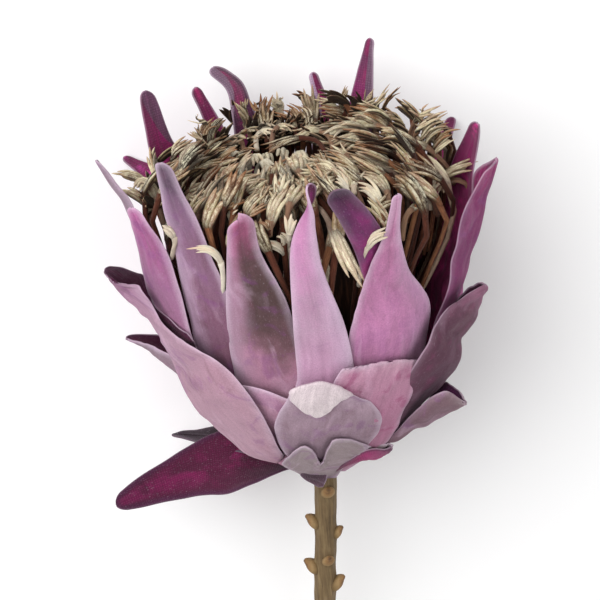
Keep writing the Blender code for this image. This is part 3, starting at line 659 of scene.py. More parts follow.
def tracedRows(row):
    if "leftFold" in row:
        made = [(a, b, c, *between(c, d, bulge), d) for a, b, c, d, bulge in row["leftFold"]]
    elif "rightFold" in row:
        made = [(a, *between(b, a, bulge)[::-1], b, c, d) for a, b, c, d, bulge in row["rightFold"]]
    else:
        made = [acrossWall(*line, row["count"]) for line in row["over"]]
    return pictured(made)


def facesOf(grid):
    normal = np.cross(np.gradient(grid, axis=0), np.gradient(grid, axis=1))
    return normal / np.maximum(np.linalg.norm(normal, axis=2), 1e-9)[..., None]


def tracedSurface(row, t, s, seed):
    grid = smooth(tracedRows(row).transpose(1, 0, 2), (s + 1) / 2).transpose(1, 0, 2)
    grid = seen(smooth(grid, t))
    across = np.linalg.norm(np.diff(grid, axis=1), axis=2)
    x = np.concatenate([np.zeros((len(t), 1)), np.cumsum(across, axis=1)], 1)
    half = x[:, -1] / 2
    upward = np.linalg.norm(np.diff(grid, axis=0), axis=2)
    y = np.concatenate([np.zeros((1, len(s))), np.cumsum(upward, axis=0)])
    (deep, wide), (fine, narrow) = cloth["folds"]
    folds = deep * crumpled(x, y, wide, seed) + fine * crumpled(x, y * 0.5, narrow, seed + 3)
    free = np.clip(t * 3, 0, 1)[:, None]                            # the root stays put
    return grid + facesOf(grid) * (free * folds)[..., None], x - half[:, None], y, half


def bractSurface(row, start, t, s, seed):
    out, up, slope = midline(start, row["length"], row["headings"], t)
    points, along, normal, side = framesOf(row["turn"] + row.get("sway", 0) * t**2, out, up, slope)
    turned = row.get("twist", 0) * np.sin(np.pi / 2 * t) + smooth(row.get("roll", (0, 0)), t)
    roll = np.radians(turned)[:, None]
    normal, side = normal * np.cos(roll) + side * np.sin(roll), side * np.cos(roll) - normal * np.sin(roll)
    half = smooth(row["half"], t) if "half" in row else row["width"] / 2 * smooth(row["shape"], t)
    tip = max(half[-1] * cloth["tip"], 1.0) / row["length"]         # the tip is rounded over its half width
    half = half * np.sqrt(np.clip(1 - np.clip((t - 1 + tip) / tip, 0, 1) ** 2, 0.012, 1))
    radius = np.interp(t, cup["roundingAt"], cup["rounding"])
    if "rounding" in row:
        radius = smooth(row["rounding"], t)
    bend = np.minimum(half / radius, cup["most"])
    radius = half / bend
    turn = s[None] * bend[:, None]
    across = radius[:, None] * np.sin(turn)
    inward = radius[:, None] * (1 - np.cos(turn))
    rise = (row["lift"] * np.clip(t * 3, 0, 1))[:, None] - inward
    x = s[None] * half[:, None]
    y = t[:, None] * row["length"] + 0 * x
    free = np.clip(t * 4, 0, 1)[:, None]                            # the root stays put
    rise = rise + free * cloth["crumple"] * crumpled(x, y, cloth["crumpleSize"], seed)
    rise = rise + free * cloth["pleat"] * crumpled(x, y * 0.4, cloth["pleatSize"], seed + 90)
    wave = crumpled(np.sign(x) * 40, y, cloth["ruffleSize"], seed + 500)
    rise = rise + free * cloth["ruffle"] * np.abs(s)[None] ** 3 * wave
    rise = rise - free * cloth["crease"] * np.exp(-(s[None] / cloth["creaseWidth"]) ** 2)
    for hand, key in ((-1, "leftEdge"), (1, "rightEdge")):
        if key in row:
            reach = np.clip((hand * s[None] - cloth["edgeFrom"]) / (1 - cloth["edgeFrom"]), 0, 1) ** 2
            rise = rise + smooth(row[key], t)[:, None] * reach
    rise = rise + smooth(row.get("push", (0, 0)), t)[:, None]
    across = across + smooth(row.get("bow", (0, 0)), t)[:, None]
    grid = points[:, None] + side[:, None] * across[..., None] + normal[:, None] * rise[..., None]
    grid = grid + along[:, None] * (row.get("skew", 0) * s[None] * t[:, None] ** 3)[..., None]
    return grid, x, y, half


def pushOut(grid, clear):
    # What lies within the wall of tall bracts moves out, to this far off it
    out, up = midline(cup["innerStart"], cup["reach"], cup["tall"], np.linspace(0, cup["wallTop"], 19))[:2]
    footOut, footUp = cup["wallFoot"]
    heights = np.concatenate([[footUp], up])
    wallOut = np.concatenate([[footOut], out + cup["wallDepth"]])
    radius = np.hypot(grid[..., 0], grid[..., 1])
    least = np.interp(grid[..., 2], heights, wallOut) + clear
    near = (grid[..., 2] < heights[-1]) & (radius < least)
    scale = np.where(near, least / np.maximum(radius, 1e-6), 1.0)
    return grid * np.stack([scale, scale, np.ones_like(scale)], -1)


def bractMaterial(name, row):
    paint = Paint(name, roughness=0.82, sheen=0.16, sheenTint=dye["sheen"], specular=0.18)
    along, across, inside, edge = (paint.mark(m) for m in ("along", "across", "inside", "edge"))
    dyed = {**dye, **row}
    weave = paint.place("cloth")
    patch = paint.noise(weave, weaving["patch"], 4.0, 0.6, 0.8)
    streak = paint.noise(paint.stretched(weave, weaving["streak"]), 1.0, 4.0, 0.6)
    grain = paint.noise(weave, weaving["grain"], 3.0, 0.7)
    fibre = paint.noise(paint.stretched(weave, weaving["fibre"]), 1.0, 2.0, 0.6, 0.6)
    drift = along + (patch - 0.5) * 0.34 + (streak - 0.5) * 0.14
    outer = paint.ramp(drift, looks[row["look"]]["outer"])
    if "shade" in row:                                              # a darker patch of dye up the middle
        low, high, strength, colour = row["shade"]
        offMiddle = abs(along - (low + high) / 2 + (patch - 0.5) * 0.2)
        lengthways = paint.ease(offMiddle, (high - low) / 2, 0.04)
        crossways = paint.ease(across + (streak - 0.5) * 0.7 + (patch - 0.5) * 0.5, -0.62, 0.02)
        outer = paint.mix(outer, colour, lengthways * crossways * strength)
    violet = paint.ease(paint.noise(weave, weaving["violet"], 3.0, 0.55, 1.0), 0.52, 0.68)
    outer = paint.mix(outer, dyed["stain"], violet * dyed["violet"])
    smoke = paint.noise(paint.stretched(weave, weaving["smoke"]), 1.0, 4.0, 0.62, 0.9)
    outer = paint.mix(outer, dyed["smokeColour"], paint.ease(smoke, 0.5, 0.74) * dyed["smoke"])
    bright = paint.noise(paint.stretched(weave, weaving["bright"]), 1.0, 3.0, 0.55, 0.7)
    outer = paint.mix(outer, dyed["brightColour"], paint.ease(bright, 0.54, 0.7) * dyed["bright"])
    if "lit" in row:                                                # painted light: one side of the cloth is painted paler, as if lit from that side
        hand, amount = row["lit"]
        paintedLight = paint.ease(across * hand + (patch - 0.5) * 0.7, 0.0, 0.9)
        outer = paint.mix(outer, dyed["litColour"], paintedLight * amount)
    pale = paint.ease(edge, dyed["paleWidth"], 0.0) * (0.2 + 0.8 * patch) * dyed["pale"]
    outer = paint.mix(outer, dyed["paleColour"], pale)
    outer = paint.mix(outer, 0.76 + 0.48 * streak, 1.0, "MULTIPLY")
    inner = paint.ramp(drift, looks[row.get("innerLook", row["look"])].get("inner", magenta))
    glow = paint.ease(patch, 0.44, 0.62) * paint.ease(abs(across), 0.95, 0.2)
    inner = paint.mix(inner, dyed["glow"], glow * dyed["glowAmount"])
    inner = paint.mix(inner, dyed["edgeColour"], paint.ease(edge, 2.6, 0.3) * dyed["innerEdge"])
    if "facet" in row:                                              # one side of a fold is faded
        hand, offset, slope, colour, amount = row["facet"]
        fold = across * hand + (along - 1) * slope + (patch - 0.5) * 0.3
        inner = paint.mix(inner, colour, paint.ease(fold, offset - 0.07, offset + 0.07) * amount)
    inner = paint.mix(inner, 0.7 + 0.6 * streak, 1.0, "MULTIPLY")
    warp, weft = (paint.waves(weave, weaving["threads"], axis, weaving["threadBend"]) for axis in "XY")
    threads = warp * weft
    inner = paint.mix(inner, 0.84 + 0.5 * threads, dyed["threads"], "MULTIPLY")
    colour = paint.mix(outer, inner, paint.ease(inside, 0.35, 0.65))
    colour = paint.mix(colour, 0.64 + 0.72 * grain, 1.0, "MULTIPLY")
    flock = paint.ease(fibre, 0.58, 0.78)
    colour = paint.mix(colour, dyed["flockColour"], flock * dyed["flock"])
    rim = paint.ease(edge, 0.5, 0.0)
    colour = paint.mix(colour, dyed["rimColour"], rim * (0.15 + 0.7 * patch) * dyed["rim"])
    height = grain * 0.8 + fibre * 0.6 + streak * 0.5 + threads * inside * 0.5
    return paint.finish(colour, height, weaving["bump"], weaving["bumpDepth"], 0.72 + 0.2 * grain)


def makeBract(name, row, start, seed, node):
    rows, columns = cloth["rows"], cloth["columns"]
    even = np.linspace(0, 1, rows)
    t = 1 - (1 - even) ** cloth["crowding"]                         # rows stand closer towards the tip
    s = np.linspace(-1, 1, columns)
    traced = "turn" not in row
    if traced:
        grid, x, y, half = tracedSurface(row, even, s, seed)
    else:
        grid, x, y, half = bractSurface(row, start, t, s, seed)
        if node == "outer_bracts":
            grid = pushOut(grid, cup["clear"] + cup["clearPerLift"] * row["lift"])
    normal = facesOf(grid)
    outward = normal[..., 0] * grid[..., 0] + normal[..., 1] * grid[..., 1]
    if traced or "twist" in row:
        outward = outward[0, columns // 2]
    if outward.sum() < 0:
        normal = -normal
    if "turned" in row:
        normal = -normal
    edge = np.minimum(half[:, None] - np.abs(x), y[-1:] - y)
    swell = np.clip(edge / cloth["thinEdge"], 0, 1) ** 0.5 * 0.6 + 0.4
    thick = cloth["thick"] / 2 * swell[..., None]
    rims = []
    for column, nextOne in ((0, 1), (-1, -2)):
        beyond = grid[:, column] - grid[:, nextOne]
        beyond /= np.maximum(np.linalg.norm(beyond, axis=1), 1e-9)[:, None]
        rims.append(grid[:, column] + beyond * cloth["rim"])

    def ring(face, right, back, left):
        return np.concatenate([face, right, back, left], axis=1)

    one = np.ones((rows, 1))
    lengthways, crossways = t[:, None] + 0 * x, s[None] + 0 * x
    marks = {
        "along": ring(lengthways, t[:, None], lengthways, t[:, None]),
        "across": ring(crossways, one, crossways[:, ::-1], -one),
        "inside": ring(0 * x, 0.5 * one, 0 * x + 1, 0.5 * one),
        "edge": ring(edge, 0 * one, edge[:, ::-1], 0 * one),
    }
    depth = seed * 37.0                                             # each bract has its part of the pattern
    front = np.stack([x, y, 0 * x + depth], -1)
    back = np.stack([x, y, 0 * x + depth + 11], -1)[:, ::-1]
    places = {"cloth": ring(front, front[:, -1:], back, front[:, :1])}
    shape = Shape(tuple(marks), ("cloth",))
    shape.sheet(grid + normal * thick, grid - normal * thick, rims, marks, places)
    shape.build("bract_" + name, bractMaterial(name + "_cloth", row), [node])
    return grid


innerGrids = []
for k, (name, row) in enumerate(tallBracts.items()):
    part = np.linspace(0, 1, len(cup["tall"]))
    upright = smooth(cup["tall"], np.minimum(part * row["length"] / cup["reach"], 1))
    row["headings"] = upright + row["lean"] * part**2
    innerGrids.append(makeBract(name, row, cup["innerStart"], 20 + k, "inner_bracts"))
print("tall bracts made:", len(tallBracts))

for k, (name, row) in enumerate({**looseBracts, **baseBracts}.items()):
    makeBract(name, row, cup["outerStart"], 60 + k, "outer_bracts")
print("loose bracts made:", len(looseBracts) + len(baseBracts))

# Receptacle: the cup that the bracts grow from, and the core that the stalks stand round

receptacle = {
    "profile": ((0.4, 3.2), (0.8, 4.9), (2.2, 6.6), (5.4, 10.4), (9.4, 15.4), (12.2, 18.4), (14.2, 20.4),
                (16.8, 21.4), (18.4, 20.2), (16.2, 17.0), (13.6, 12.0), (12.6, 6.0), (12.4, 0.6)),
    "sides": 72, "rows": 40, "fold": 0.22, "folds": 24,
    "colours": ((0, (98, 82, 58)), (0.25, (92, 62, 66)), (0.6, (86, 44, 64)), (1, (44, 24, 30))),
}


def turnedRings(body):
    # A turned body from its profile of heights and radii, with folds round it that fade out near the middle
    z, r = (np.array(column, float) for column in zip(*body["profile"]))
    run = np.concatenate([[0], np.cumsum(np.hypot(np.diff(z), np.diff(r)))])
    at = np.linspace(0, run[-1], body["rows"])
    z, r = np.interp(at, run, z), np.interp(at, run, r)
    angle = np.linspace(0, 2 * np.pi, body["sides"], endpoint=False)[None]
    angle = angle + body.get("twist", 0.0) * at[:, None] / run[-1]
    reach = r[:, None] + body["fold"] * np.cos(body["folds"] * angle) * np.clip(r[:, None] / 12, 0, 1)
    return np.stack([reach * np.sin(angle), -reach * np.cos(angle), z[:, None] + 0 * reach], -1), at / run[-1]


def receptacleMaterial():
    paint = Paint("receptacle_skin", roughness=0.8, sheen=0.2, specular=0.25)
    along = paint.mark("along")
    spot = paint.place("place")
    patch = paint.noise(spot, 0.3, 3.0, 0.6)
    line = paint.noise(paint.stretched(spot, (1, 1, 0.2)), 1.1, 3.0, 0.6)
    colour = paint.ramp(along + (patch - 0.5) * 0.3, receptacle["colours"])
    colour = paint.mix(colour, 0.7 + 0.6 * line, 1.0, "MULTIPLY")
    return paint.finish(colour, line + patch * 0.5, 0.5, 0.0003)


def makeReceptacle():
    rings, at = turnedRings(receptacle)
    shape = Shape(("along",), ("place",))
    shape.tube(rings, (0, 0, 1, 1), {"along": at[:, None]}, {"place": rings})
    shape.build("receptacle", receptacleMaterial(), ["inner_bracts", "outer_bracts"])


core = {
    "profile": ((17.5, 0.3), (18, 6), (34, 21.0), (56, 29.6), (80, 32.4), (88, 30.6), (92.6, 24.0),
                (94.0, 15.0), (94.0, 8.0), (93.6, 0.3)),
    "sides": 204, "rows": 60, "fold": 0.5, "folds": 68, "twist": 0.25,
    # painted shade: these near-black colours are partly the stalks' own dark brown, partly the shade in the
    # gaps between florets
    "colours": ((0.25, (15, 8, 6)), (0.5, (34, 19, 13)), (0.75, (66, 40, 27))),
}


def coreMaterial():
    paint = Paint("core_stalks", roughness=0.85, specular=0.2)
    spot = paint.place("place")
    line = paint.noise(paint.stretched(spot, (1, 1, 0.08)), 0.9, 4.0, 0.65)
    patch = paint.noise(spot, 0.12, 2.0)
    colour = paint.ramp(line + (patch - 0.5) * 0.4, core["colours"])
    return paint.finish(colour, line, 0.6, 0.0004)


def makeCore():
    rings = turnedRings(core)[0]
    shape = Shape((), ("place",))
    shape.tube(rings, (0, 0, 1, 1), {}, {"place": rings})
    shape.build("floret_core", coreMaterial(), ["florets"])


makeReceptacle()
makeCore()
print("receptacle and core made")

# Florets: a stalk, an arched head with lengthwise segments, and the pointed teeth that they end in

floretMarks = ("zone", "crest", "tone", "under", "cream", "rust")
floretForm = {
    "bodyRows": 11, "bodySides": 12, "toothRows": 13, "toothSides": 8, "stalkRows": 10, "stalkSides": 6,
    "stalkWide": 1.6, "stalkFlat": 0.8, "arch": 0.3, "high": 0.42, "low": 0.3,
    "bodyRun": (0, 0.12, 0.3, 0.5, 0.66, 0.78, 0.84), "bodyHalf": (0.3, 0.56, 0.8, 0.86, 0.76, 0.5, 0.1),
    "toothRun": (0, 0.15, 0.4, 0.7, 0.86, 0.95, 1), "toothHalf": (0.4, 0.8, 1, 0.92, 0.66, 0.4, 0.1),
    "three": 0.4, "starts": 0.1, "ends": (0.86, 1.1), "toneApart": 0.28, "side": 0.84, "full": 0.66,
    "splay": 1.35, "stray": 0.6, "tipLift": (-1.1, 1.5), "layer": (-0.12, 0.16), "thick": 0.55, "keel": 0.3,
    "strand": (2.2, 5, 70), "gap": 0.06,
}
rings = {          # from the rim in: where the path starts, out and up, its headings, and sizes
    "rim": dict(count=37, start=(32.4, 60), length=52, head=14.5, width=4.5,
                headings=(29, 25, 22, 18, -38, -78), deep=True, sides=9),
    "shoulder": dict(count=38, start=(32.6, 74), length=41, head=14, width=4.5,
                     headings=(20, 14, 8, -4, -56, -84), deep=True, sides=5),
    "second": dict(count=35, start=(31.6, 84), length=30, head=13, width=4.3,
                   headings=(8, 6, 0, -34, -70, -78), sides=2),
    "middle": dict(count=30, start=(28, 87), length=26, head=12.5, width=4.2,
                   headings=(8, 6, 0, -36, -70, -78)),
    "third": dict(count=25, start=(24.2, 89), length=24, head=12, width=4.0,
                  headings=(6, 4, -4, -36, -70, -76)),
    "inmost": dict(count=18, start=(20.0, 91.0), length=22, head=11, width=3.8,
                   headings=(4, 0, -16, -46, -66, -72)),
}
bloom = {
    "middle": (-5.5, 6.5), "middleReach": 34, "reach": 54, "clear": 2.3, "margin": 5, "near": 40,
    "levels": (40, 122, 5.0), "tuft": 3.4, "tufts": 11, "sway": 19, "turn": 42, "lengths": (0.84, 1.07),
    "stray": 11, "backRise": 26, "lifts": 0.16, "lift": (12, 40), "hollow": 230, "hollowHalf": 32,
    "hollowWidth": 26, "hollowCut": 0.32, "foot": ((22.5, 33), (26.5, 42), (29.6, 51)), "footOut": 32.4,
    "high": 70, "knee": (31.6, 62.0), "tones": (-0.24, 0.84), "creams": (-1.6, 0.35), "heads": (0.9, 1.08),
    "widths": (0.85, 1.12), "splays": (0.6, 1.5), "steps": 60,
}

plush = {          # the florets' colours: one, or stops over the range of shades
    "head": ((0, (46, 34, 26)), (0.16, (78, 54, 40)), (0.32, (136, 118, 84)), (0.46, (118, 82, 62)),
             (0.6, (172, 160, 118)), (0.74, (158, 116, 98)), (0.88, (196, 182, 142)), (1, (226, 216, 178))),
    "teeth": ((0, (110, 74, 50)), (0.25, (156, 116, 82)), (0.42, (182, 134, 104)), (0.56, (206, 184, 150)),
              (0.7, (178, 130, 106)), (0.82, (204, 186, 156)), (1, (230, 216, 190))),
    "pale": ((0, (176, 160, 138)), (0.5, (226, 218, 200)), (0.84, (238, 226, 200)), (1, (232, 196, 168))),
    # the stalks' near-black end is partly their own dark brown and partly painted shade among the florets
    "stalk": ((0.15, (38, 16, 12)), (0.5, (88, 46, 32)), (0.85, (150, 104, 70))),
    # painted shade on this line: the two darkest colours darken the heads down their sides and at their roots
    "glint": (252, 246, 216), "grooveShade": (30, 19, 14), "root": (46, 28, 20), "rust": (158, 90, 46),
    # painted shade on this line: the first colour darkens the heads' undersides, the second the pale florets'
    # sides
    "under": (40, 23, 16), "paleGrooveShade": (120, 92, 72), "sheen": (225, 215, 200),
}


def floretMaterial(name):
    paint = Paint(name, roughness=0.8, sheen=0.08, sheenTint=plush["sheen"], specular=0.2)
    zone, crest, tone, under, cream, rust = (paint.mark(m) for m in floretMarks)
    spot = paint.place("strand")
    mottle = paint.noise(spot, 0.3, 3.0, 0.6)
    hair = paint.noise(paint.stretched(spot, (2.6, 0.4, 1)), 1.0, 3.0, 0.65)
    shade = tone * 0.84 + (mottle - 0.5) * 1.1 + (hair - 0.5) * 0.3 + 0.1
    head = paint.ramp(shade, plush["head"])
    fleck = paint.noise(paint.stretched(spot, (5.0, 1.6, 1)), 1.0, 2.0, 0.7)
    glint = paint.ease(crest, 0.7, 1.0) * paint.ease(fleck * 0.55 + mottle * 0.45, 0.44, 0.6)
    head = paint.mix(head, plush["glint"], glint * 0.9)
    # painted shade: each head darkens down its sides and undersides, and toward its root
    head = paint.mix(head, plush["grooveShade"], paint.ease(crest, 0.78, 0.2) * 0.88)
    head = paint.mix(head, plush["root"], paint.ease(zone, 0.98, 0.15) * 0.86)
    # the stalks' colours: their own dark brown to tan, with painted shade at the near-black end
    stalk = paint.ramp(tone * 0.5 + hair * 0.6, plush["stalk"])
    teeth = paint.ramp(shade, plush["teeth"])
    colour = paint.mix(stalk, head, paint.ease(zone, 0.1, 0.5))
    colour = paint.mix(colour, teeth, paint.ease(zone, 1.3, 1.95) * (0.1 + 0.7 * crest))
    rusty = rust * (0.15 + 0.6 * crest) * paint.ease(zone, 0.4, 1.6) * (0.4 + 0.9 * mottle)
    colour = paint.mix(colour, plush["rust"], rusty)
    # painted shade under the heads
    colour = paint.mix(colour, plush["under"], paint.ease(under, 0.1, 0.8) * 0.8)
    pale = paint.ramp(shade * 0.6 + zone * 0.2, plush["pale"])
    # painted shade down the pale florets' sides
    pale = paint.mix(pale, plush["paleGrooveShade"], paint.ease(crest, 0.4, 0.0) * 0.5)
    colour = paint.mix(colour, pale, cream)
    colour = paint.mix(colour, 0.62 + 0.5 * hair + 0.36 * fleck, 1.0, "MULTIPLY")
    return paint.finish(colour, hair + fleck * 0.7 + mottle * 0.4, 0.7, 0.0003)


def pathFrames(points, upHint):
    # The directions up off a path and to its side
    along = np.gradient(points, axis=0)
    along /= np.linalg.norm(along, axis=1)[:, None]
    side = np.cross(along, upHint)
    side /= np.maximum(np.linalg.norm(side, axis=1), 1e-9)[:, None]
    return np.cross(side, along), side


def circle(sides):
    turn = np.arange(sides) * 2 * np.pi / sides
    return np.cos(turn)[None], np.sin(turn)[None]


def addFloret(shape, path, upHint, headLength, width, cell, pick, tone, cream, roll, splay, rust=None):
    form = floretForm
    rust = max(0.0, pick.uniform(-0.8, 0.7)) if rust is None else rust
    run = np.concatenate([[0], np.cumsum(np.linalg.norm(np.diff(path, axis=0), axis=1))])
    headLength = min(headLength, run[-1] * 0.9)
    start = run[-1] - headLength
    left, low, right, high = cell
    strip = (right - left) / 8

    def atRun(distance):
        beyond = np.maximum(distance - run[-1], 0)[:, None]
        last = (path[-1] - path[-2]) / np.linalg.norm(path[-1] - path[-2])
        return np.stack([np.interp(distance, run, path[:, k]) for k in range(3)], 1) + last * beyond

    def headFrames(f):
        points = atRun(start + headLength * f)
        normal, side = pathFrames(points, upHint)
        angle = np.radians(roll * np.clip(f, 0, 1))[:, None]
        turned = side * np.cos(angle) - normal * np.sin(angle)
        return points, normal * np.cos(angle) + side * np.sin(angle), turned

    def ringsOf(spine, side, normal, across, rise):
        return spine[:, None] + side[:, None] * across[..., None] + normal[:, None] * rise[..., None]

    def addPart(rings, first, wide, own, zone, crest, under, at):
        # One closed part in its strip of the floret's cell, from this eighth of it on
        flat = np.zeros(rings.shape[:2])
        over, apart, deep = form["strand"]
        aside = circle(rings.shape[1])[0] * over + first * apart
        spot = np.stack([flat + aside, flat + at[:, None], flat + tone * deep], -1)
        box = (left + strip * first, low, left + strip * (first + wide - form["gap"]), high)
        marks = (zone, crest, own, under, cream, rust)
        shape.tube(rings, box, dict(zip(floretMarks, marks)), {"strand": spot})

    ends = np.linspace(0, start + headLength * 0.2, form["stalkRows"])
    points = atRun(ends)
    normal, side = pathFrames(points, upHint)
    wide = (form["stalkWide"] / 2 * np.interp(ends / max(ends[-1], 1e-6), (0, 0.75, 1), (1, 1, 1.4)))[:, None]
    x, up = circle(form["stalkSides"])
    stalk = ringsOf(points, side, normal, x * wide, up * wide * form["stalkFlat"])
    addPart(stalk, 0, 1, tone, 0.0, 0.5, 0.0, ends)

    f = np.linspace(0, form["bodyRun"][-1], form["bodyRows"])
    points, normal, side = headFrames(f)
    half = (width / 2 * np.interp(f, form["bodyRun"], form["bodyHalf"]))[:, None]
    x, up = circle(form["bodySides"])
    rise = np.where(up > 0, up * form["high"], up * form["low"]) - form["arch"] * x**2
    body = ringsOf(points, side, normal, x * half, rise * half)
    addPart(body, 1, 2.6, tone, np.clip(f * 2.4, 0, 1)[:, None], np.clip(0.25 + 0.75 * up, 0, 1),
            np.clip(-up, 0, 1), headLength * f)

    count = 3 if pick.uniform() < form["three"] else 4
    x, up = circle(form["toothSides"])
    thick = up * form["thick"] + form["keel"] * np.clip(up, 0, 1) ** 2
    for k in range(count):                                          # the segments lie side by side
        share = (k + 0.5) / count * 2 - 1
        own = tone + pick.uniform(-form["toneApart"], form["toneApart"])
        f = np.linspace(form["starts"], pick.uniform(*form["ends"]) - 0.08 * share**2, form["toothRows"])
        g = (f - f[0]) / (f[-1] - f[0])
        points, normal, side = headFrames(f)
        half = width / 2 * np.interp(f, (form["starts"], 0.3, 0.5, 1), (0.5, 0.86, 1, 1))
        parted = share * form["splay"] * splay + pick.uniform(-form["stray"], form["stray"])
        aside = share * form["side"] * half + g**2.6 * parted
        lift = half * (0.12 + 0.26 * np.clip(g * 1.7 - 0.3, 0, 1) - form["arch"] * share**2 * 0.9)
        lift = lift + g**3 * pick.uniform(*form["tipLift"]) + pick.uniform(*form["layer"])
        wide = width / count * form["full"] * np.interp(g, form["toothRun"], form["toothHalf"])[:, None]
        spine = points + side * aside[:, None] + normal * lift[:, None]
        zone = 0.15 + 0.85 * np.clip(g * 2.4, 0, 1) + np.clip((g - 0.55) * 2.2, 0, 1)
        addPart(ringsOf(spine, side, normal, x * wide, thick * wide), 3.7 + k, 1, own, zone[:, None],
                np.clip(0.36 + 0.62 * up, 0, 1), np.clip(-up, 0, 1), headLength * f)


def reachWithin(azimuth):
    # How far out a floret may stand at each level before it meets a tall bract
    levels = np.arange(*bloom["levels"])
    free = np.full(len(levels), float(bloom["reach"]))
    for grid in innerGrids:
        heights = grid[:, cloth["columns"] // 2, 2]
        turns = (np.degrees(np.arctan2(grid[..., 0], -grid[..., 1])) - azimuth + 180) % 360 - 180
        if np.abs(turns).min() > bloom["near"]:
            continue
        lowest = np.interp(levels, heights, turns.min(axis=1))
        highest = np.interp(levels, heights, turns.max(axis=1))
        nearest = np.interp(levels, heights, np.hypot(grid[..., 0], grid[..., 1]).min(axis=1))
        within = (lowest - bloom["margin"] < 0) & (highest + bloom["margin"] > 0) & (highest - lowest < 180)
        held = (levels < heights.max() + 2) & within
        free = np.where(held, np.minimum(free, nearest - bloom["clear"]), free)
    return levels, free


def floretPath(azimuth, spec, pick):
    turned = math.radians(azimuth)
    rise = bloom["backRise"] * max(0.0, -math.cos(turned)) ** 2 if spec.get("deep") else 0
    lifted = pick.uniform(*bloom["lift"]) if pick.uniform() < bloom["lifts"] else 0.0    # out of its row
    fromHollow = azimuth % 360 - bloom["hollow"]
    if spec.get("deep") and abs(fromHollow) < bloom["hollowHalf"]:
        rise, lifted = 0, 0
    stray = bloom["stray"]
    headings = [h + (rise + lifted) * (i / 5) ** 2 + pick.uniform(-stray, stray) * i / 5
                for i, h in enumerate(spec["headings"])]
    t = np.linspace(0, 1, bloom["steps"])
    length = spec["length"] + spec.get("sides", 0) * math.sin(turned) ** 2
    if spec.get("deep"):                                            # the rim sits lower at the back left
        length *= 1 - bloom["hollowCut"] * math.exp(-(fromHollow / bloom["hollowWidth"]) ** 2)
    out, up = midline(spec["start"], length * pick.uniform(*bloom["lengths"]), headings, t)[:2]
    turn = azimuth + pick.uniform(-1, 1) * bloom["sway"] * t**2
    if spec.get("deep"):                                            # the stalk goes on down beside the core
        footOut, footUp = np.array(bloom["foot"]).T
        out = np.concatenate([footOut + spec["start"][0] - bloom["footOut"], out])
        up = np.concatenate([footUp, up])
        if spec["start"][1] > bloom["high"]:
            kneeOut, kneeUp = bloom["knee"]
            out, up = np.insert(out, len(footOut), kneeOut), np.insert(up, len(footUp), kneeUp)
        turn = np.concatenate([np.full(len(out) - len(turn), azimuth), turn])
        levels, free = reachWithin(azimuth)
        out = np.minimum(out, np.interp(up, levels, free))
    angle = np.radians(turn)
    inward = np.clip(1 - out / bloom["middleReach"], 0, 1)[:, None] ** 0.8
    middle = np.array(bloom["middle"] + (0,)) * inward
    return np.stack([out * np.sin(angle), -out * np.cos(angle), up], -1) + middle


def cellOf(k, count):
    # Each floret of a piece has a square of its map
    side = math.ceil(math.sqrt(count))
    gap = 0.003
    left, low = k % side / side, k // side / side
    return left + gap, low + gap, (k % side + 1) / side - gap, (k // side + 1) / side - gap


def outwardAt(azimuth, up):
    return np.array([math.sin(math.radians(azimuth)), -math.cos(math.radians(azimuth)), up])


def makeRing(name, spec, sectors):
    pick = np.random.default_rng(300 + len(name) + int(spec["start"][1] * 3))
    perSector = [[] for _ in range(sectors)]
    for k in range(spec["count"]):
        azimuth = 360 * (k + pick.uniform(-0.25, 0.25)) / spec["count"]
        tufts = math.sin(math.radians(azimuth) * bloom["tufts"] + spec["start"][1])
        azimuth += bloom["tuft"] * tufts                            # they bunch in tufts
        perSector[int(azimuth % 360 / 360 * sectors) % sectors].append(azimuth)
    for sector, azimuths in enumerate(perSector):
        shape = Shape(floretMarks, ("strand",))
        for k, azimuth in enumerate(azimuths):
            path = floretPath(azimuth, spec, pick)
            head = spec["head"] * pick.uniform(*bloom["heads"])
            width = spec["width"] * pick.uniform(*bloom["widths"])
            addFloret(shape, path, outwardAt(azimuth, 0.35), head, width, cellOf(k, len(azimuths)), pick,
                      pick.uniform(*bloom["tones"]), max(0.0, pick.uniform(*bloom["creams"])),
                      pick.uniform(-1, 1) * bloom["turn"], pick.uniform(*bloom["splays"]))
        shape.build(f"florets_{name}_{sector + 1}", floretCloth, ["florets"])


floretCloth = floretMaterial("floret_plush")
for name, spec in rings.items():
    makeRing(name, spec, 4 if spec["count"] > 24 else 2)
print("floret rings made:", len(rings))

# Fans of florets that stand up at the rim
fans = {
    "left_rim": dict(turn=-93, count=9, spread=34, start=(36, 78), length=31,
                     headings=(12, 14, 6, -34, -58, -66)),
    "left_out": dict(turn=-98, count=4, spread=16, start=(38, 84), length=22,
                     headings=(16, 20, 24, 26, 24, 20)),
    "back_front": dict(turn=-170, count=8, spread=28, start=(27, 90), length=24,
                       headings=(4, 0, -12, -40, -66, -76)),
    "right_rim": dict(turn=88, count=9, spread=36, start=(36, 76), length=33,
                      headings=(12, 14, 8, -26, -56, -68)),
}
fanFloret = {"head": 14.5, "width": 4.1, "sizes": (0.85, 1.1), "tones": (0.1, 0.95), "creams": (-0.6, 0.4),
             "bent": 7, "roll": 30, "splay": 1.3}


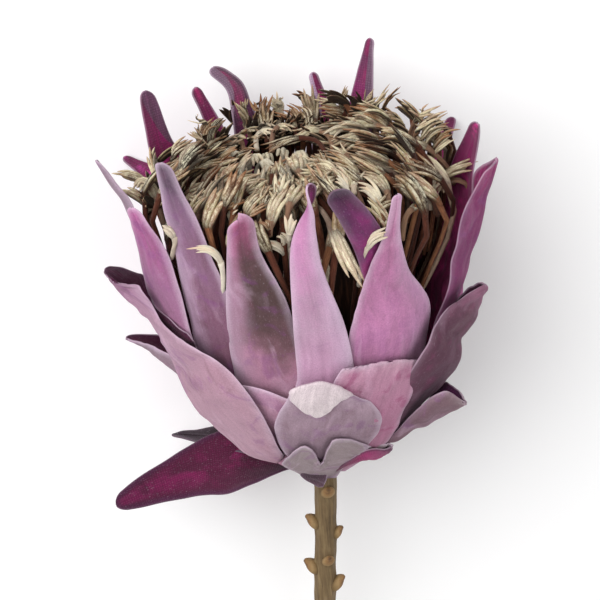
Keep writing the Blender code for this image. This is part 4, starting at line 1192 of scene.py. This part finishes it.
def makeFan(name, fan):
    own = fanFloret
    pick = np.random.default_rng(700 + fan["count"] * 7 + fan["turn"])
    shape = Shape(floretMarks, ("strand",))
    for k in range(fan["count"]):
        turn = fan["turn"] + fan["spread"] * ((k + 0.5) / fan["count"] - 0.5) + pick.uniform(-1, 1)
        headings = tuple(h + pick.uniform(-own["bent"], own["bent"]) for h in fan["headings"])
        start = (fan["start"][0] + pick.uniform(-2, 1), fan["start"][1])
        path = floretPath(turn, dict(start=start, length=fan["length"], headings=headings), pick)
        head, width = (own[key] * pick.uniform(*own["sizes"]) for key in ("head", "width"))
        addFloret(shape, path, outwardAt(turn, 0.2), head, width, cellOf(k, fan["count"]), pick,
                  pick.uniform(*own["tones"]), max(0.0, pick.uniform(*own["creams"])),
                  pick.uniform(-own["roll"], own["roll"]), own["splay"])
    shape.build("florets_fan_" + name, floretCloth, ["florets"])


for name, fan in fans.items():
    makeFan(name, fan)

# Loose florets among the fans and over the bracts: points as seen, head length, width, tone and cream
strays = {
    "left_white": (((-22.0, 2, 40), (-21.8, 7, 46), (-22.8, 11.6, 50), (-26.0, 14.2, 52), (-31.2, 14.2, 52)),
                   14, 2.6, 0.8, 0.95),
    "cream_one": (((-4.5, -1, 36), (-4.2, 6, 41), (-4.0, 12, 45), (-6.2, 15.0, 49), (-10.6, 15.4, 51)),
                  10, 4.0, 0.9, 1.0),
    "cream_two": (((-3.5, -1, 36), (-3.4, 8, 42), (-3.4, 14, 46), (-4.4, 17.6, 49), (-6.8, 18.8, 50)),
                  8, 4.0, 0.95, 0.8),
    "cream_three": (((-2.6, 2, 36), (-2.6, 10, 40), (-2.8, 16, 43), (-3.2, 21.5, 45), (-4.2, 26.5, 46)),
                    14, 4.4, 0.9, 0.7),
    "loose_head": (((3.0, 28, 38), (6.4, 25.0, 49), (10.0, 18.0, 56), (13.4, 10.6, 59), (17.0, 4.4, 59)),
                   22, 4.6, 0.5, 0.25),
    "loose_second": (((3.6, 20, 38), (4.6, 17.0, 43), (5.8, 12.0, 46), (7.0, 6.6, 48), (8.4, 1.6, 48)),
                     14, 4.2, 0.8, 0.4),
    "yellow_hook": (((16.8, 4, 42), (17.4, 9, 47), (18.2, 13.4, 52), (20.4, 17.0, 55), (25.0, 18.8, 56)),
                    10, 3.4, 0.9, 0.7),
    "left_out": (((-44.0, 26, 14), (-44.6, 31, 17), (-46.4, 35.0, 18), (-50.0, 36.6, 17), (-54.4, 36.8, 16)),
                 11, 3.6, 0.3, 0.05),
    "left_out_low": (((-42.6, 20, 16), (-43.8, 25, 19), (-45.6, 28.8, 20), (-49.0, 31.0, 20),
                      (-52.8, 31.8, 19)), 11, 3.4, 0.5, 0.1),
    "left_curl": (((-40.0, 22, 18), (-41.4, 28, 21), (-43.4, 32.6, 22), (-46.4, 34.4, 22), (-48.6, 31.0, 22)),
                  13, 3.8, 0.75, 0.2),
    "left_tip": (((-37.0, 12, 34), (-36.0, 15, 40), (-35.6, 17.6, 43), (-36.6, 19.4, 44), (-39.4, 20.8, 44)),
                 6, 3.6, 0.9, 0.6),
}

# Florets traced from the photo: colour, width in pixels, millimetres off the head's dome, length of the head
# or 0 for as much as the path allows, and places from root to tip in pixels right and down
floretColours = {      # tone, cream and rust
    "dark": (0, 0, 0.1), "brown": (0.12, 0, 0.25), "rust": (0.3, 0, 0.9), "tan": (0.4, 0.05, 0),
    "beige": (0.66, 0.1, 0.1), "straw": (0.85, 0.12, 0.2), "cream": (0.95, 0.5, 0), "white": (1, 0.85, 0),
    "blush": (0.9, 0.65, 0.3),
}
drawn = {
    "left": (
        ("brown", 12, 2, 0, (174, 166), (173, 158), (176, 150), (184, 143.5), (192, 139.5)),
        ("tan", 12, 3, 0, (183, 166), (181, 158), (184, 151), (190, 147), (198, 144.5)),
        ("brown", 12, 3.5, 0, (204, 172), (200, 164), (195, 157), (189, 151)),
        ("beige", 13, 1, 0, (206, 172), (204, 153), (201, 142), (194, 133), (186, 126)),
        ("straw", 8, -2, 0, (213, 152), (210, 134), (205, 124), (199, 119), (194, 115.5)),
        ("rust", 9, 0, 0, (205, 148), (203, 134), (206, 127), (214, 120.5)),
        ("dark", 10, 1.5, 0, (207, 160), (210, 142), (212, 131), (219, 123), (227.5, 117.5)),
        ("brown", 12, 5, 0, (207, 172), (206, 158), (211, 149), (219, 145.5), (226, 145), (234, 144.5)),
        ("beige", 11, 3, 0, (168, 176), (170, 170), (177, 165), (186, 161)),
        ("beige", 10, 4, 0, (166, 184), (170, 178), (178, 173), (186, 170)),
        ("tan", 12, 4, 0, (196, 183), (202, 174.5), (213, 169), (226, 166.5)),
        ("tan", 14, 5, 0, (199, 196), (203, 184), (214, 174.5), (226, 169.5), (236, 169.5)),
        ("brown", 13, 3, 0, (211, 192), (218, 181), (230, 174), (243, 173.5)),
        ("beige", 10, 4, 0, (187, 193), (192, 188), (198, 184.5), (203, 183)),
        ("beige", 9, 4, 0, (189, 200), (194, 196.5), (200, 194)),
        ("beige", 10, 5, 0, (196, 202), (203, 197), (213, 193)),
        ("straw", 11, 5, 0, (209, 204), (214, 197.5), (221, 191), (227, 187)),
        ("tan", 12, 5, 0, (224, 196), (231, 185.5), (243, 179.5), (259, 176)),
        ("beige", 12, 6, 0, (229, 198), (238, 188.5), (250, 183), (265, 181)),
        ("tan", 11, 4, 0, (241, 199), (249, 191.5), (257, 187), (265, 184.5)),
        ("straw", 13, 6, 0, (197, 220), (203, 208.5), (213, 199.5), (227, 192)),
        ("tan", 12, 7, 0, (207, 222), (213, 209.5), (222, 202), (237, 197)),
        ("rust", 13, 8, 0, (213, 232), (218, 216), (228, 206), (247, 198.5)),
        ("cream", 10, 5, 0, (236, 228), (232, 218), (233, 212), (241, 206)),
        ("tan", 13, 8, 0, (244, 222), (247, 210), (254, 201), (262, 195)),
        ("tan", 13, 5, 0, (251, 210), (257, 197), (264, 190), (273, 186)),
        ("rust", 9, 9, 0, (246, 220), (254, 212), (265, 204)),
    ),
    "back": (
        ("beige", 11, 0, 0, (251, 140), (248, 126), (243, 116), (234, 108)),
        ("tan", 9, -3, 0, (247, 132), (245, 116), (243, 106), (242, 96.5)),
        ("rust", 11, -1, 0, (259, 140), (258, 118), (256, 106), (253, 95)),
        ("rust", 9, -3, 0, (264, 136), (264, 116), (264, 105), (265, 97)),
        ("brown", 13, 1, 0, (267, 142), (266, 124), (266, 111), (270, 101)),
        ("cream", 10, -5, 0, (279, 124), (277, 110), (274, 101), (272, 94)),
        ("cream", 9, -5, 0, (281, 122), (280, 108), (278, 100), (277, 95)),
        ("rust", 9, 0, 0, (299, 140), (293, 124), (286, 116.5), (273, 113.5)),
        ("rust", 9, -1, 0, (304, 138), (300, 119), (294, 111), (282, 106.5)),
        ("brown", 9, 0, 0, (309, 140), (309, 121), (306, 113), (299, 110.5)),
        ("straw", 10, -3, 0, (309, 134), (308, 112), (306, 100), (304, 89.5)),
        ("beige", 9, -3, 0, (314, 134), (314, 112), (313, 98), (312, 86)),
        ("beige", 8, -4, 0, (342, 122), (341, 108), (344, 97), (351, 85.5)),
        ("beige", 7, -3, 0, (364, 116), (365, 104), (369, 97), (373.5, 91)),
        ("beige", 7, -3, 0, (370, 118), (371, 105), (374, 99), (378, 93)),
        ("straw", 8, -3, 0, (375, 120), (377, 106), (382, 98), (390, 89.5)),
        ("rust", 8, -3, 0, (381, 122), (384, 107), (391, 98), (400.5, 90.5)),
        ("beige", 8, 1, 6, (244, 150), (241, 139), (243, 133), (250, 129.5), (257, 132)),
        ("blush", 8, 1, 6, (257, 150), (256, 140), (259, 134), (265, 131.5), (273, 134)),
        ("beige", 11, 2, 7, (272, 152), (272, 139), (275, 130), (282, 127), (290, 132)),
        ("straw", 10, 3, 0, (333, 150), (330, 138), (322, 131.5), (310, 130.5), (297, 137), (284, 139)),
        ("brown", 9, 5, 0, (325, 152), (318, 142), (306, 138), (292, 139), (280, 144), (265, 152)),
        ("beige", 9, -1, 0, (340, 112), (336, 107), (328, 104), (316, 103.5)),
        ("rust", 10, 1, 0, (350, 122), (344, 114), (334, 111), (319, 113)),
        ("rust", 10, 2, 0, (395, 142), (389, 128), (380, 118), (368, 112), (353, 110.5)),
        ("tan", 11, 4, 0, (384, 134), (378, 124), (370, 119), (361, 116.5), (349, 118.5)),
        ("straw", 12, 5, 0, (399, 146), (391, 133), (380, 126.5), (364, 123.5), (340, 126)),
        ("beige", 10, 5, 0, (350, 134), (344, 124), (336, 119.5), (325, 122)),
        ("cream", 10, 7, 0, (357, 146), (354, 134), (348, 128), (338, 129), (326, 137.5)),
        ("tan", 10, 6, 0, (362, 136), (352, 127.5), (340, 126), (322, 131)),
        ("straw", 12, 8, 0, (393, 156), (385, 142), (373, 135.5), (357, 135), (333, 146)),
        ("beige", 11, 9, 0, (378, 160), (368, 148), (356, 142.5), (338, 149)),
    ),
    "top": (
        ("straw", 15, 9, 0, (270, 236), (272, 217), (276, 205), (284, 194)),
        ("beige", 14, 8, 0, (287, 222), (289, 206), (295, 195), (303, 185)),
        ("cream", 13, 6, 0, (277, 204), (279, 193), (283, 179)),
        ("tan", 10, 4, 0, (291, 196), (289, 186), (286, 178)),
        ("white", 9, 10, 0, (289, 240), (290, 227), (293, 214)),
        ("rust", 8, 10, 0, (270, 234), (268, 224), (264, 217)),
        ("tan", 12, 5, 0, (300, 200), (303, 190), (308, 182), (314, 180)),
        ("brown", 11, 6, 0, (264, 222), (263, 208), (266, 198), (272, 193)),
        ("beige", 12, 6, 0, (312, 205), (313, 194), (318, 186)),
        ("straw", 15, 4, 0, (304, 181), (299, 172), (296, 164), (293, 156.5)),
        ("rust", 8, 4, 0, (271, 186), (273, 174), (278, 166), (286, 160.5)),
        ("straw", 8, 4, 0, (276, 184), (281, 173), (287, 165)),
        ("straw", 9, 5, 0, (326, 185), (321, 178), (312, 174.5), (301, 177)),
        ("straw", 9, 5, 0, (331, 176), (326, 170), (318, 165.5), (309, 168)),
        ("dark", 17, 9, 0, (407, 190), (402, 168), (390, 153.5), (373, 147.5), (352, 151)),
        ("dark", 14, 10, 0, (396, 188), (388, 168), (376, 156), (362, 151)),
    ),
    "right": (
        ("beige", 9, 0, 0, (407, 152), (409, 138), (414, 124), (424, 114), (439, 107.5)),
        ("straw", 9, 1, 0, (413, 152), (414, 139), (420, 127), (431, 117), (443, 111)),
        ("tan", 9, 2, 0, (419, 150), (422, 138), (428, 128), (436, 122.5), (446, 118.5)),
        ("tan", 9, 3, 0, (422, 154), (426, 143), (432, 134), (440, 128.5), (449, 126)),
        ("rust", 9, 3, 0, (431, 157), (434, 147), (441, 137), (448, 131.5), (458, 128.5)),
        ("straw", 8, 4, 0, (431, 162), (435, 152), (441, 146), (447, 141), (455, 136.5)),
        ("straw", 11, 3, 0, (454, 184), (447, 167), (436, 155), (423, 145), (409, 140.5)),
        ("beige", 11, 4, 0, (440, 184), (433, 166), (422, 154), (408, 145), (384, 139)),
        ("tan", 10, 6, 0, (440, 188), (434, 176), (422, 165.5), (409, 157), (392, 150.5)),
        ("blush", 8, 7, 0, (437, 190), (430, 178), (422, 172.5), (412, 168.5)),
        ("straw", 8, 9, 0, (350, 160), (344, 153), (333, 147)),
        ("cream", 11, 9, 0, (389, 196), (383, 178), (373, 166.5), (354, 158.5)),
        ("straw", 12, 12, 0, (391, 212), (386, 190), (375, 177.5), (359, 172.5)),
        ("blush", 12, 14, 0, (386, 216), (377, 198), (368, 188), (357, 184.5)),
        ("cream", 8, 12, 0, (354, 194), (354, 184), (359, 175)),
        ("white", 9, 11, 0, (348, 192), (344, 184), (338, 178.5)),
        ("straw", 10, 8, 0, (342, 184), (334, 172), (324, 165.5), (309, 167)),
        ("beige", 11, 9, 0, (362, 184), (355, 172), (345, 165.5), (333, 162)),
        ("tan", 10, 8, 0, (374, 186), (369, 171), (360, 162), (342, 160)),
        ("tan", 12, 9, 0, (438, 216), (432, 198), (422, 188), (411, 181.5), (395, 178.5)),
        ("tan", 12, 12, 0, (426, 218), (419, 203), (410, 194), (401, 187.5), (390, 186)),
        ("beige", 12, 8, 0, (436, 214), (434, 194), (441, 180), (454, 170.5), (476, 163.5)),
        ("straw", 11, 6, 0, (472, 226), (471, 200), (466, 184), (455, 180), (444, 183), (432, 194)),
        ("cream", 10, 9, 0, (430, 210), (430, 192), (437, 181), (447, 174)),
        ("straw", 9, 12, 0, (402, 240), (405, 220), (411, 210), (420, 206.5), (433, 206)),
        ("brown", 11, 12, 0, (381, 228), (378, 214), (382, 206), (392, 201.5)),
        ("beige", 12, 8, 0, (330, 200), (326, 190), (328, 180), (336, 174)),
    ),
}
dome = {       # the head as the camera sees it: its top edge is an arch, and it falls away to a round rim
    "top": 47, "arch": 9, "archMiddle": 305, "archHalf": 125, "perMm": 3.31, "shift": -3, "radius": 34,
    "least": 6.0, "slope": (0.891, 0.454), "freeLift": 4, "heldLift": 0.4,
    "along": (0, 0.3, 0.6, 1), "bent": (-4, -0.5, 0.6, 0.3), "headShare": 0.86, "longestHead": 16,
    "pixel": 0.3,
}


def overDome(x, y, lift):
    edge = dome["top"] - dome["arch"] * ((x - dome["archMiddle"]) / dome["archHalf"]) ** 2
    up = (view["pixels"] / 2 - y) / dome["perMm"]
    aside = (x - view["pixels"] / 2) / dome["perMm"] + dome["shift"]
    most = max(dome["least"] ** 2, dome["radius"] ** 2 - aside * aside) ** 0.5
    level, tilt = dome["slope"]
    back = min(max((up - edge * level) / tilt, -most), most)
    free = dome["freeLift"]
    lift = lift if lift <= free else free + (lift - free) * dome["heldLift"]
    return x, y, -level * back + (up - back * tilt) / level * tilt + lift


def tracedFloret(colour, width, lift, headLength, *places):
    lifts = np.interp(np.linspace(0, 1, len(places)), dome["along"], dome["bent"]) + lift
    points = pictured([overDome(x, y, off) for (x, y), off in zip(places, lifts)])
    run = np.linalg.norm(np.diff(points, axis=0), axis=1).sum()
    headLength = headLength or min(run * dome["headShare"], dome["longestHead"])
    return points, round(headLength, 1), round(width * dome["pixel"], 1), *floretColours[colour]


def makeDrawn(name, table, seed, splay):
    _, up, back = viewAxes()
    pick = np.random.default_rng(seed)
    shape = Shape(floretMarks, ("strand",))
    for k, (points, headLength, width, tone, cream, rust) in enumerate(table):
        through = smooth(np.array(points, float), np.linspace(0, 1, bloom["steps"]))
        addFloret(shape, seen(through), back * 0.8 + up * 0.6, headLength, width, cellOf(k, len(table)), pick,
                  tone + pick.uniform(-0.08, 0.08), cream, pick.uniform(-20, 20), splay, rust)
    shape.build(name, floretCloth, ["florets"])


for k, (name, table) in enumerate(drawn.items()):
    makeDrawn("florets_drawn_" + name, [tracedFloret(*row) for row in table], 50 + k, 1.2)
print("traced florets made:", sum(len(table) for table in drawn.values()))
makeDrawn("florets_loose", [row + (0.1,) for row in strays.values()], 17, 0.3)
print("fans and loose florets made:", len(fans) + len(strays))

# Crater: small cream buds in the hollow at the top, and a pinkish tuft among them. Each bud is a place as
# seen, right, up and toward, the way its tip turns, its length, width, tone and cream.
buds = (
    (-17.6, 43.0, 8, -2.6, 7.0, 3.8, 0.7, 0.85), (-14.6, 42.0, 9, 2.0, 6.5, 3.4, 0.9, 0.75),
    (-12.4, 40.4, 11, 2.6, 6.0, 3.0, 0.6, 0.9), (-20.4, 39.0, 12, 3.0, 6.5, 3.4, 0.5, 0.55),
    (-8.0, 38.6, 12, -1.6, 5.5, 3.0, 0.8, 0.7), (-4.8, 43.4, 8, -0.6, 7.0, 3.6, 0.9, 0.85),
    (-1.4, 42.8, 9, 1.6, 6.0, 3.2, 0.8, 0.7), (1.8, 42.6, 9, -2.0, 6.5, 3.6, 0.7, 0.85),
    (5.0, 41.8, 10, 2.6, 6.5, 3.4, 0.9, 0.8), (-1.0, 40.6, 12, 2.4, 9.0, 4.6, 0.84, 0.35),
    (-2.6, 40.2, 12, 0.6, 9.0, 4.2, 0.86, 0.3), (-7.4, 38.4, 13, 3.4, 8.5, 4.0, 0.3, 0.1),
    (8.4, 40.2, 11, -2.4, 6.0, 3.2, 0.6, 0.5), (-10.4, 42.6, 6, 1.0, 6.5, 3.2, 0.7, 0.6),
    (3.4, 39.6, 12, -2.4, 6.5, 3.4, 0.8, 0.6), (-16.0, 39.4, 12, -3.0, 6.0, 3.2, 0.6, 0.5),
    (11.0, 42.0, 8, -3.0, 6.5, 3.4, 0.6, 0.3),
)
# How far its turn moves each point of a bud's path aside, and the point's rise and depth
budPath = ((-0.4, -9, -4), (-0.3, -4.5, -3), (0, -0.6, -1.6), (0.7, 0.4, 1.4), (1.3, -1.8, 2.8))


def makeCrater():
    _, up, back = viewAxes()
    pick = np.random.default_rng(91)
    shape = Shape(floretMarks, ("strand",))
    for k, (x, y, toward, turn, length, width, tone, cream) in enumerate(buds):
        knots = np.array([(x + turn * aside, y + rise, toward + depth) for aside, rise, depth in budPath])
        through = smooth(knots, np.linspace(0, 1, 40))
        addFloret(shape, seen(through), back * 0.7 + up * 0.7, length, width, cellOf(k, len(buds)), pick,
                  tone, cream, pick.uniform(-20, 20), 0.8)
    shape.build("florets_centre", floretCloth, ["centre_florets"])


makeCrater()
print("crater florets made")

# Stem

# Heights and radii down the stem. A nub is its height, turn, reach and size, and has two scales.
stem = {
    "line": ((5.8, 3.9), (2.4, 3.7), (-4, 3.5), (-16, 3.3), (-30, 3.3), (-50, 3.25), (-75, 3.2), (-100, 3.15),
             (-122, 3.1), (-142, 3.1)),
    "lean": 5.0, "leanFrom": 8.0, "radius": 3.5, "rows": 190, "sides": 48, "ridges": 9, "ridge": 0.13,
    "bumps": 0.1, "bumpSize": 9, "swell": 0.45, "cutRings": 9, "cutDip": 0.25, "nubSides": 14, "nubRows": 10,
    "nubRoot": 1.3, "barkMap": (0, 0, 0.62, 1), "cutMap": (0.64, 0, 0.8, 0.2),
    "nubMap": (0.64, 0.22, 0.09, 0.1),
    "nubRun": (0, 0.25, 0.5, 0.75, 0.9, 1), "nubWide": (1.0, 1.12, 1.1, 0.92, 0.62, 0.16), "nubFull": 0.94,
    "scales": ((1.0, 0.0), (0.72, 0.32)),
    "bark": ((0.3, (78, 62, 42)), (0.48, (108, 88, 60)), (0.62, (128, 108, 76)), (0.8, (156, 136, 100))),
    "stain": (104, 84, 92), "stained": 0.35,
    "nubColours": ((0, (70, 50, 32)), (0.3, (122, 98, 62)), (0.6, (152, 124, 84)), (0.85, (138, 104, 66)),
                   (1, (92, 66, 44))),
    "cut": ((0, (214, 190, 148)), (0.3, (226, 206, 164)), (0.75, (196, 166, 118)), (0.93, (120, 94, 64))),
    "nubs": ((-6, 10, 1.9, 2.2), (-18, -84, 2.5, 2.5), (-22.5, 80, 2.0, 2.1), (-31, 14, 1.5, 2.0),
             (-34.5, -88, 2.8, 2.6), (-41, 78, 2.8, 2.6), (-56, -50, 2.2, 2.2), (-68, 112, 2.6, 2.3),
             (-80, -104, 2.8, 2.4), (-93, 40, 2.2, 2.0), (-107, -72, 2.6, 2.3), (-122, 88, 2.5, 2.2)),
}


def stemCentre(z):
    z = np.asarray(z, float)
    below = np.maximum(-z - 1.0, 0)
    aside = -math.tan(math.radians(stem["lean"])) * below**2 / (below + stem["leanFrom"])
    return np.stack([aside, 0 * below, z], -1)


def stemMaterial():
    paint = Paint("stem_bark", roughness=0.7, specular=0.35)
    kind, along = paint.mark("kind"), paint.mark("along")
    spot = paint.place("place")
    line = paint.noise(paint.stretched(spot, (1, 1, 0.06)), 1.4, 4.0, 0.6)
    fine = paint.noise(paint.stretched(spot, (1, 1, 0.15)), 4.5, 3.0, 0.7)
    patch = paint.noise(spot, 0.16, 3.0, 0.6)
    bark = paint.ramp(line * 0.7 + patch * 0.3, stem["bark"])
    bark = paint.mix(bark, stem["stain"], paint.ease(patch, 0.58, 0.75) * stem["stained"])
    nubs = paint.ramp(along + (patch - 0.5) * 0.7, stem["nubColours"])
    cut = paint.ramp(along + (fine - 0.5) * 0.15, stem["cut"])
    colour = paint.mix(bark, nubs, paint.ease(kind, 0.25, 0.75))
    colour = paint.mix(colour, cut, paint.ease(kind, 1.4, 1.6))
    colour = paint.mix(colour, 0.72 + 0.56 * fine, 1.0, "MULTIPLY")
    return paint.finish(colour, line + fine * 0.6, 0.6, 0.0004, 0.55 + 0.3 * fine)


def makeStem():
    shape = Shape(("kind", "along"), ("place",))
    z = np.linspace(stem["line"][0][0], stem["line"][-1][0], stem["rows"])
    heights, radii = zip(*stem["line"][::-1])
    r = np.interp(z, heights, radii)
    angle = np.linspace(0, 2 * np.pi, stem["sides"], endpoint=False)
    ridge = stem["ridge"] * np.cos(stem["ridges"] * angle[None] + 0.5 * np.sin(z[:, None] * 0.07))
    around = angle[None] * 3.3 + 0 * z[:, None]
    bumps = stem["bumps"] * crumpled(around, z[:, None] + 0 * angle[None], stem["bumpSize"], 5)
    swell = 0
    for height, azimuth, reach, size in stem["nubs"]:               # the stem is swollen under each nub
        turn = (angle[None] - math.radians(azimuth) + np.pi) % (2 * np.pi) - np.pi
        away = (turn * 3.4 / size) ** 2 + ((z[:, None] - height) / (size * 1.3)) ** 2
        swell = swell + stem["swell"] * np.exp(-away)
    reach = r[:, None] + ridge + bumps + swell
    rings = stemCentre(z)[:, None] + np.stack([reach * np.sin(angle), -reach * np.cos(angle), 0 * reach], -1)
    shape.tube(rings, stem["barkMap"], {"kind": 0.0, "along": 0.0}, {"place": rings}, (True, False))
    inward = np.linspace(1, 0.04, stem["cutRings"])[:, None, None]
    centre = stemCentre(z[-1])
    face = centre + (rings[-1] - centre) * inward
    face[..., 2] -= stem["cutDip"] * (1 - inward[..., 0]) * np.cos(inward[..., 0] * 9)
    marks = {"kind": 2.0, "along": inward[..., 0]}
    shape.tube(face, stem["cutMap"], marks, {"place": face}, (False, True))
    f = np.linspace(0, 1, stem["nubRows"])
    turns = np.linspace(0, 2 * np.pi, stem["nubSides"], endpoint=False)
    up = np.array([0, 0, 1.0])
    for k, (height, azimuth, reach, size) in enumerate(stem["nubs"]):
        turn = math.radians(azimuth)
        away = np.array([math.sin(turn), -math.cos(turn), 0])
        side = np.array([math.cos(turn), math.sin(turn), 0])
        for layer, (grow, shift) in enumerate(stem["scales"]):
            out = stem["radius"] - stem["nubRoot"] + (reach + stem["nubRoot"]) * f * (1 + 0.08 * layer)
            raised = size * (shift * 0.8 + 0.8 * f**1.7)
            spine = stemCentre(height) + away * out[:, None] + up * raised[:, None]
            wide = size * grow * np.interp(f, stem["nubRun"], stem["nubWide"]) * stem["nubFull"]
            nub = (spine[:, None] + side * (wide[:, None] * np.cos(turns))[..., None]
                   + up * (wide[:, None] * 0.95 * np.sin(turns))[..., None])
            mapLeft, mapLow, cellWide, cellHigh = stem["nubMap"]
            left = mapLeft + cellWide * (k % 4)
            low = mapLow + cellHigh * (2 * (k // 4) + layer) % (1 - mapLow)
            cell = (left, low, left + cellWide - 0.005, low + cellHigh - 0.005)
            shape.tube(nub, cell, {"kind": 1.0, "along": f[:, None]}, {"place": nub}, (False, True))
    shape.build("stem_bark", stemMaterial(), ["stem"])


makeStem()
print("stem made")

# Floor, light and camera

studio = {
    "floor": 3.0, "floorLevel": -0.0002, "floorColour": (252, 252, 252), "sky": 0.5, "exposure": 0.0,
    "aim": (0, 0, 60), "lamps": {       # power, size and place
        "key_light": (14.2, 1.4, (-0.56, 0.52, 0.95)), "fill_light": (3.0, 1.2, (0.7, -0.1, 0.9))},
}


def makeFloor():
    reach, level = studio["floor"], studio["floorLevel"]
    corners = [(-reach, -reach, level), (reach, -reach, level), (reach, reach, level), (-reach, reach, level)]
    mesh = bpy.data.meshes.new("floor")
    mesh.from_pydata(corners, [], [(0, 1, 2, 3)])
    floor = linked("floor", mesh)
    paint = Paint("floor_paper", roughness=0.9, specular=0.1)
    paint.shader.inputs["Base Color"].default_value = linear(studio["floorColour"])
    floor.data.materials.append(paint.material)


def makeLight(name, power, size, place, aim):
    lamp = bpy.data.lights.new(name, "AREA")
    lamp.shape = "DISK"
    lamp.size = size
    lamp.energy = power
    item = linked(name, lamp)
    back = np.array(place) - np.array(aim)
    back /= np.linalg.norm(back)
    right = np.cross((0, 1, 0.01), back)
    right /= np.linalg.norm(right)
    item.matrix_world = placed(np.stack([right, np.cross(back, right), back], 1), place)


def placed(axes, place):
    matrix = Matrix(axes.tolist()).to_4x4()
    matrix.translation = place
    return matrix


def makeSky():
    world = bpy.data.worlds.new("studio")
    world.use_nodes = True
    background = world.node_tree.nodes["Background"]
    background.inputs["Color"].default_value = (1, 1, 1, 1)
    background.inputs["Strength"].default_value = studio["sky"]
    bpy.context.scene.world = world
    bpy.context.scene.view_settings.view_transform = "Standard"
    bpy.context.scene.view_settings.exposure = studio["exposure"]


def makeCamera():
    lens = bpy.data.cameras.new("camera")
    lens.sensor_width = 36
    lens.lens = lens.sensor_width * view["distance"] / view["across"]
    lens.clip_end = 20
    item = linked("camera", lens)
    axes = np.stack(viewAxes(), 0)
    place = lying(np.array(view["aim"]) + axes[2] * view["distance"])
    item.matrix_world = placed((axes @ layDown.T).T, place)
    bpy.context.scene.camera = item


makeFloor()
for name, (power, size, place) in studio["lamps"].items():
    makeLight(name, power, size, place, lying(studio["aim"]))
makeSky()
makeCamera()
print("floor, light and camera set")
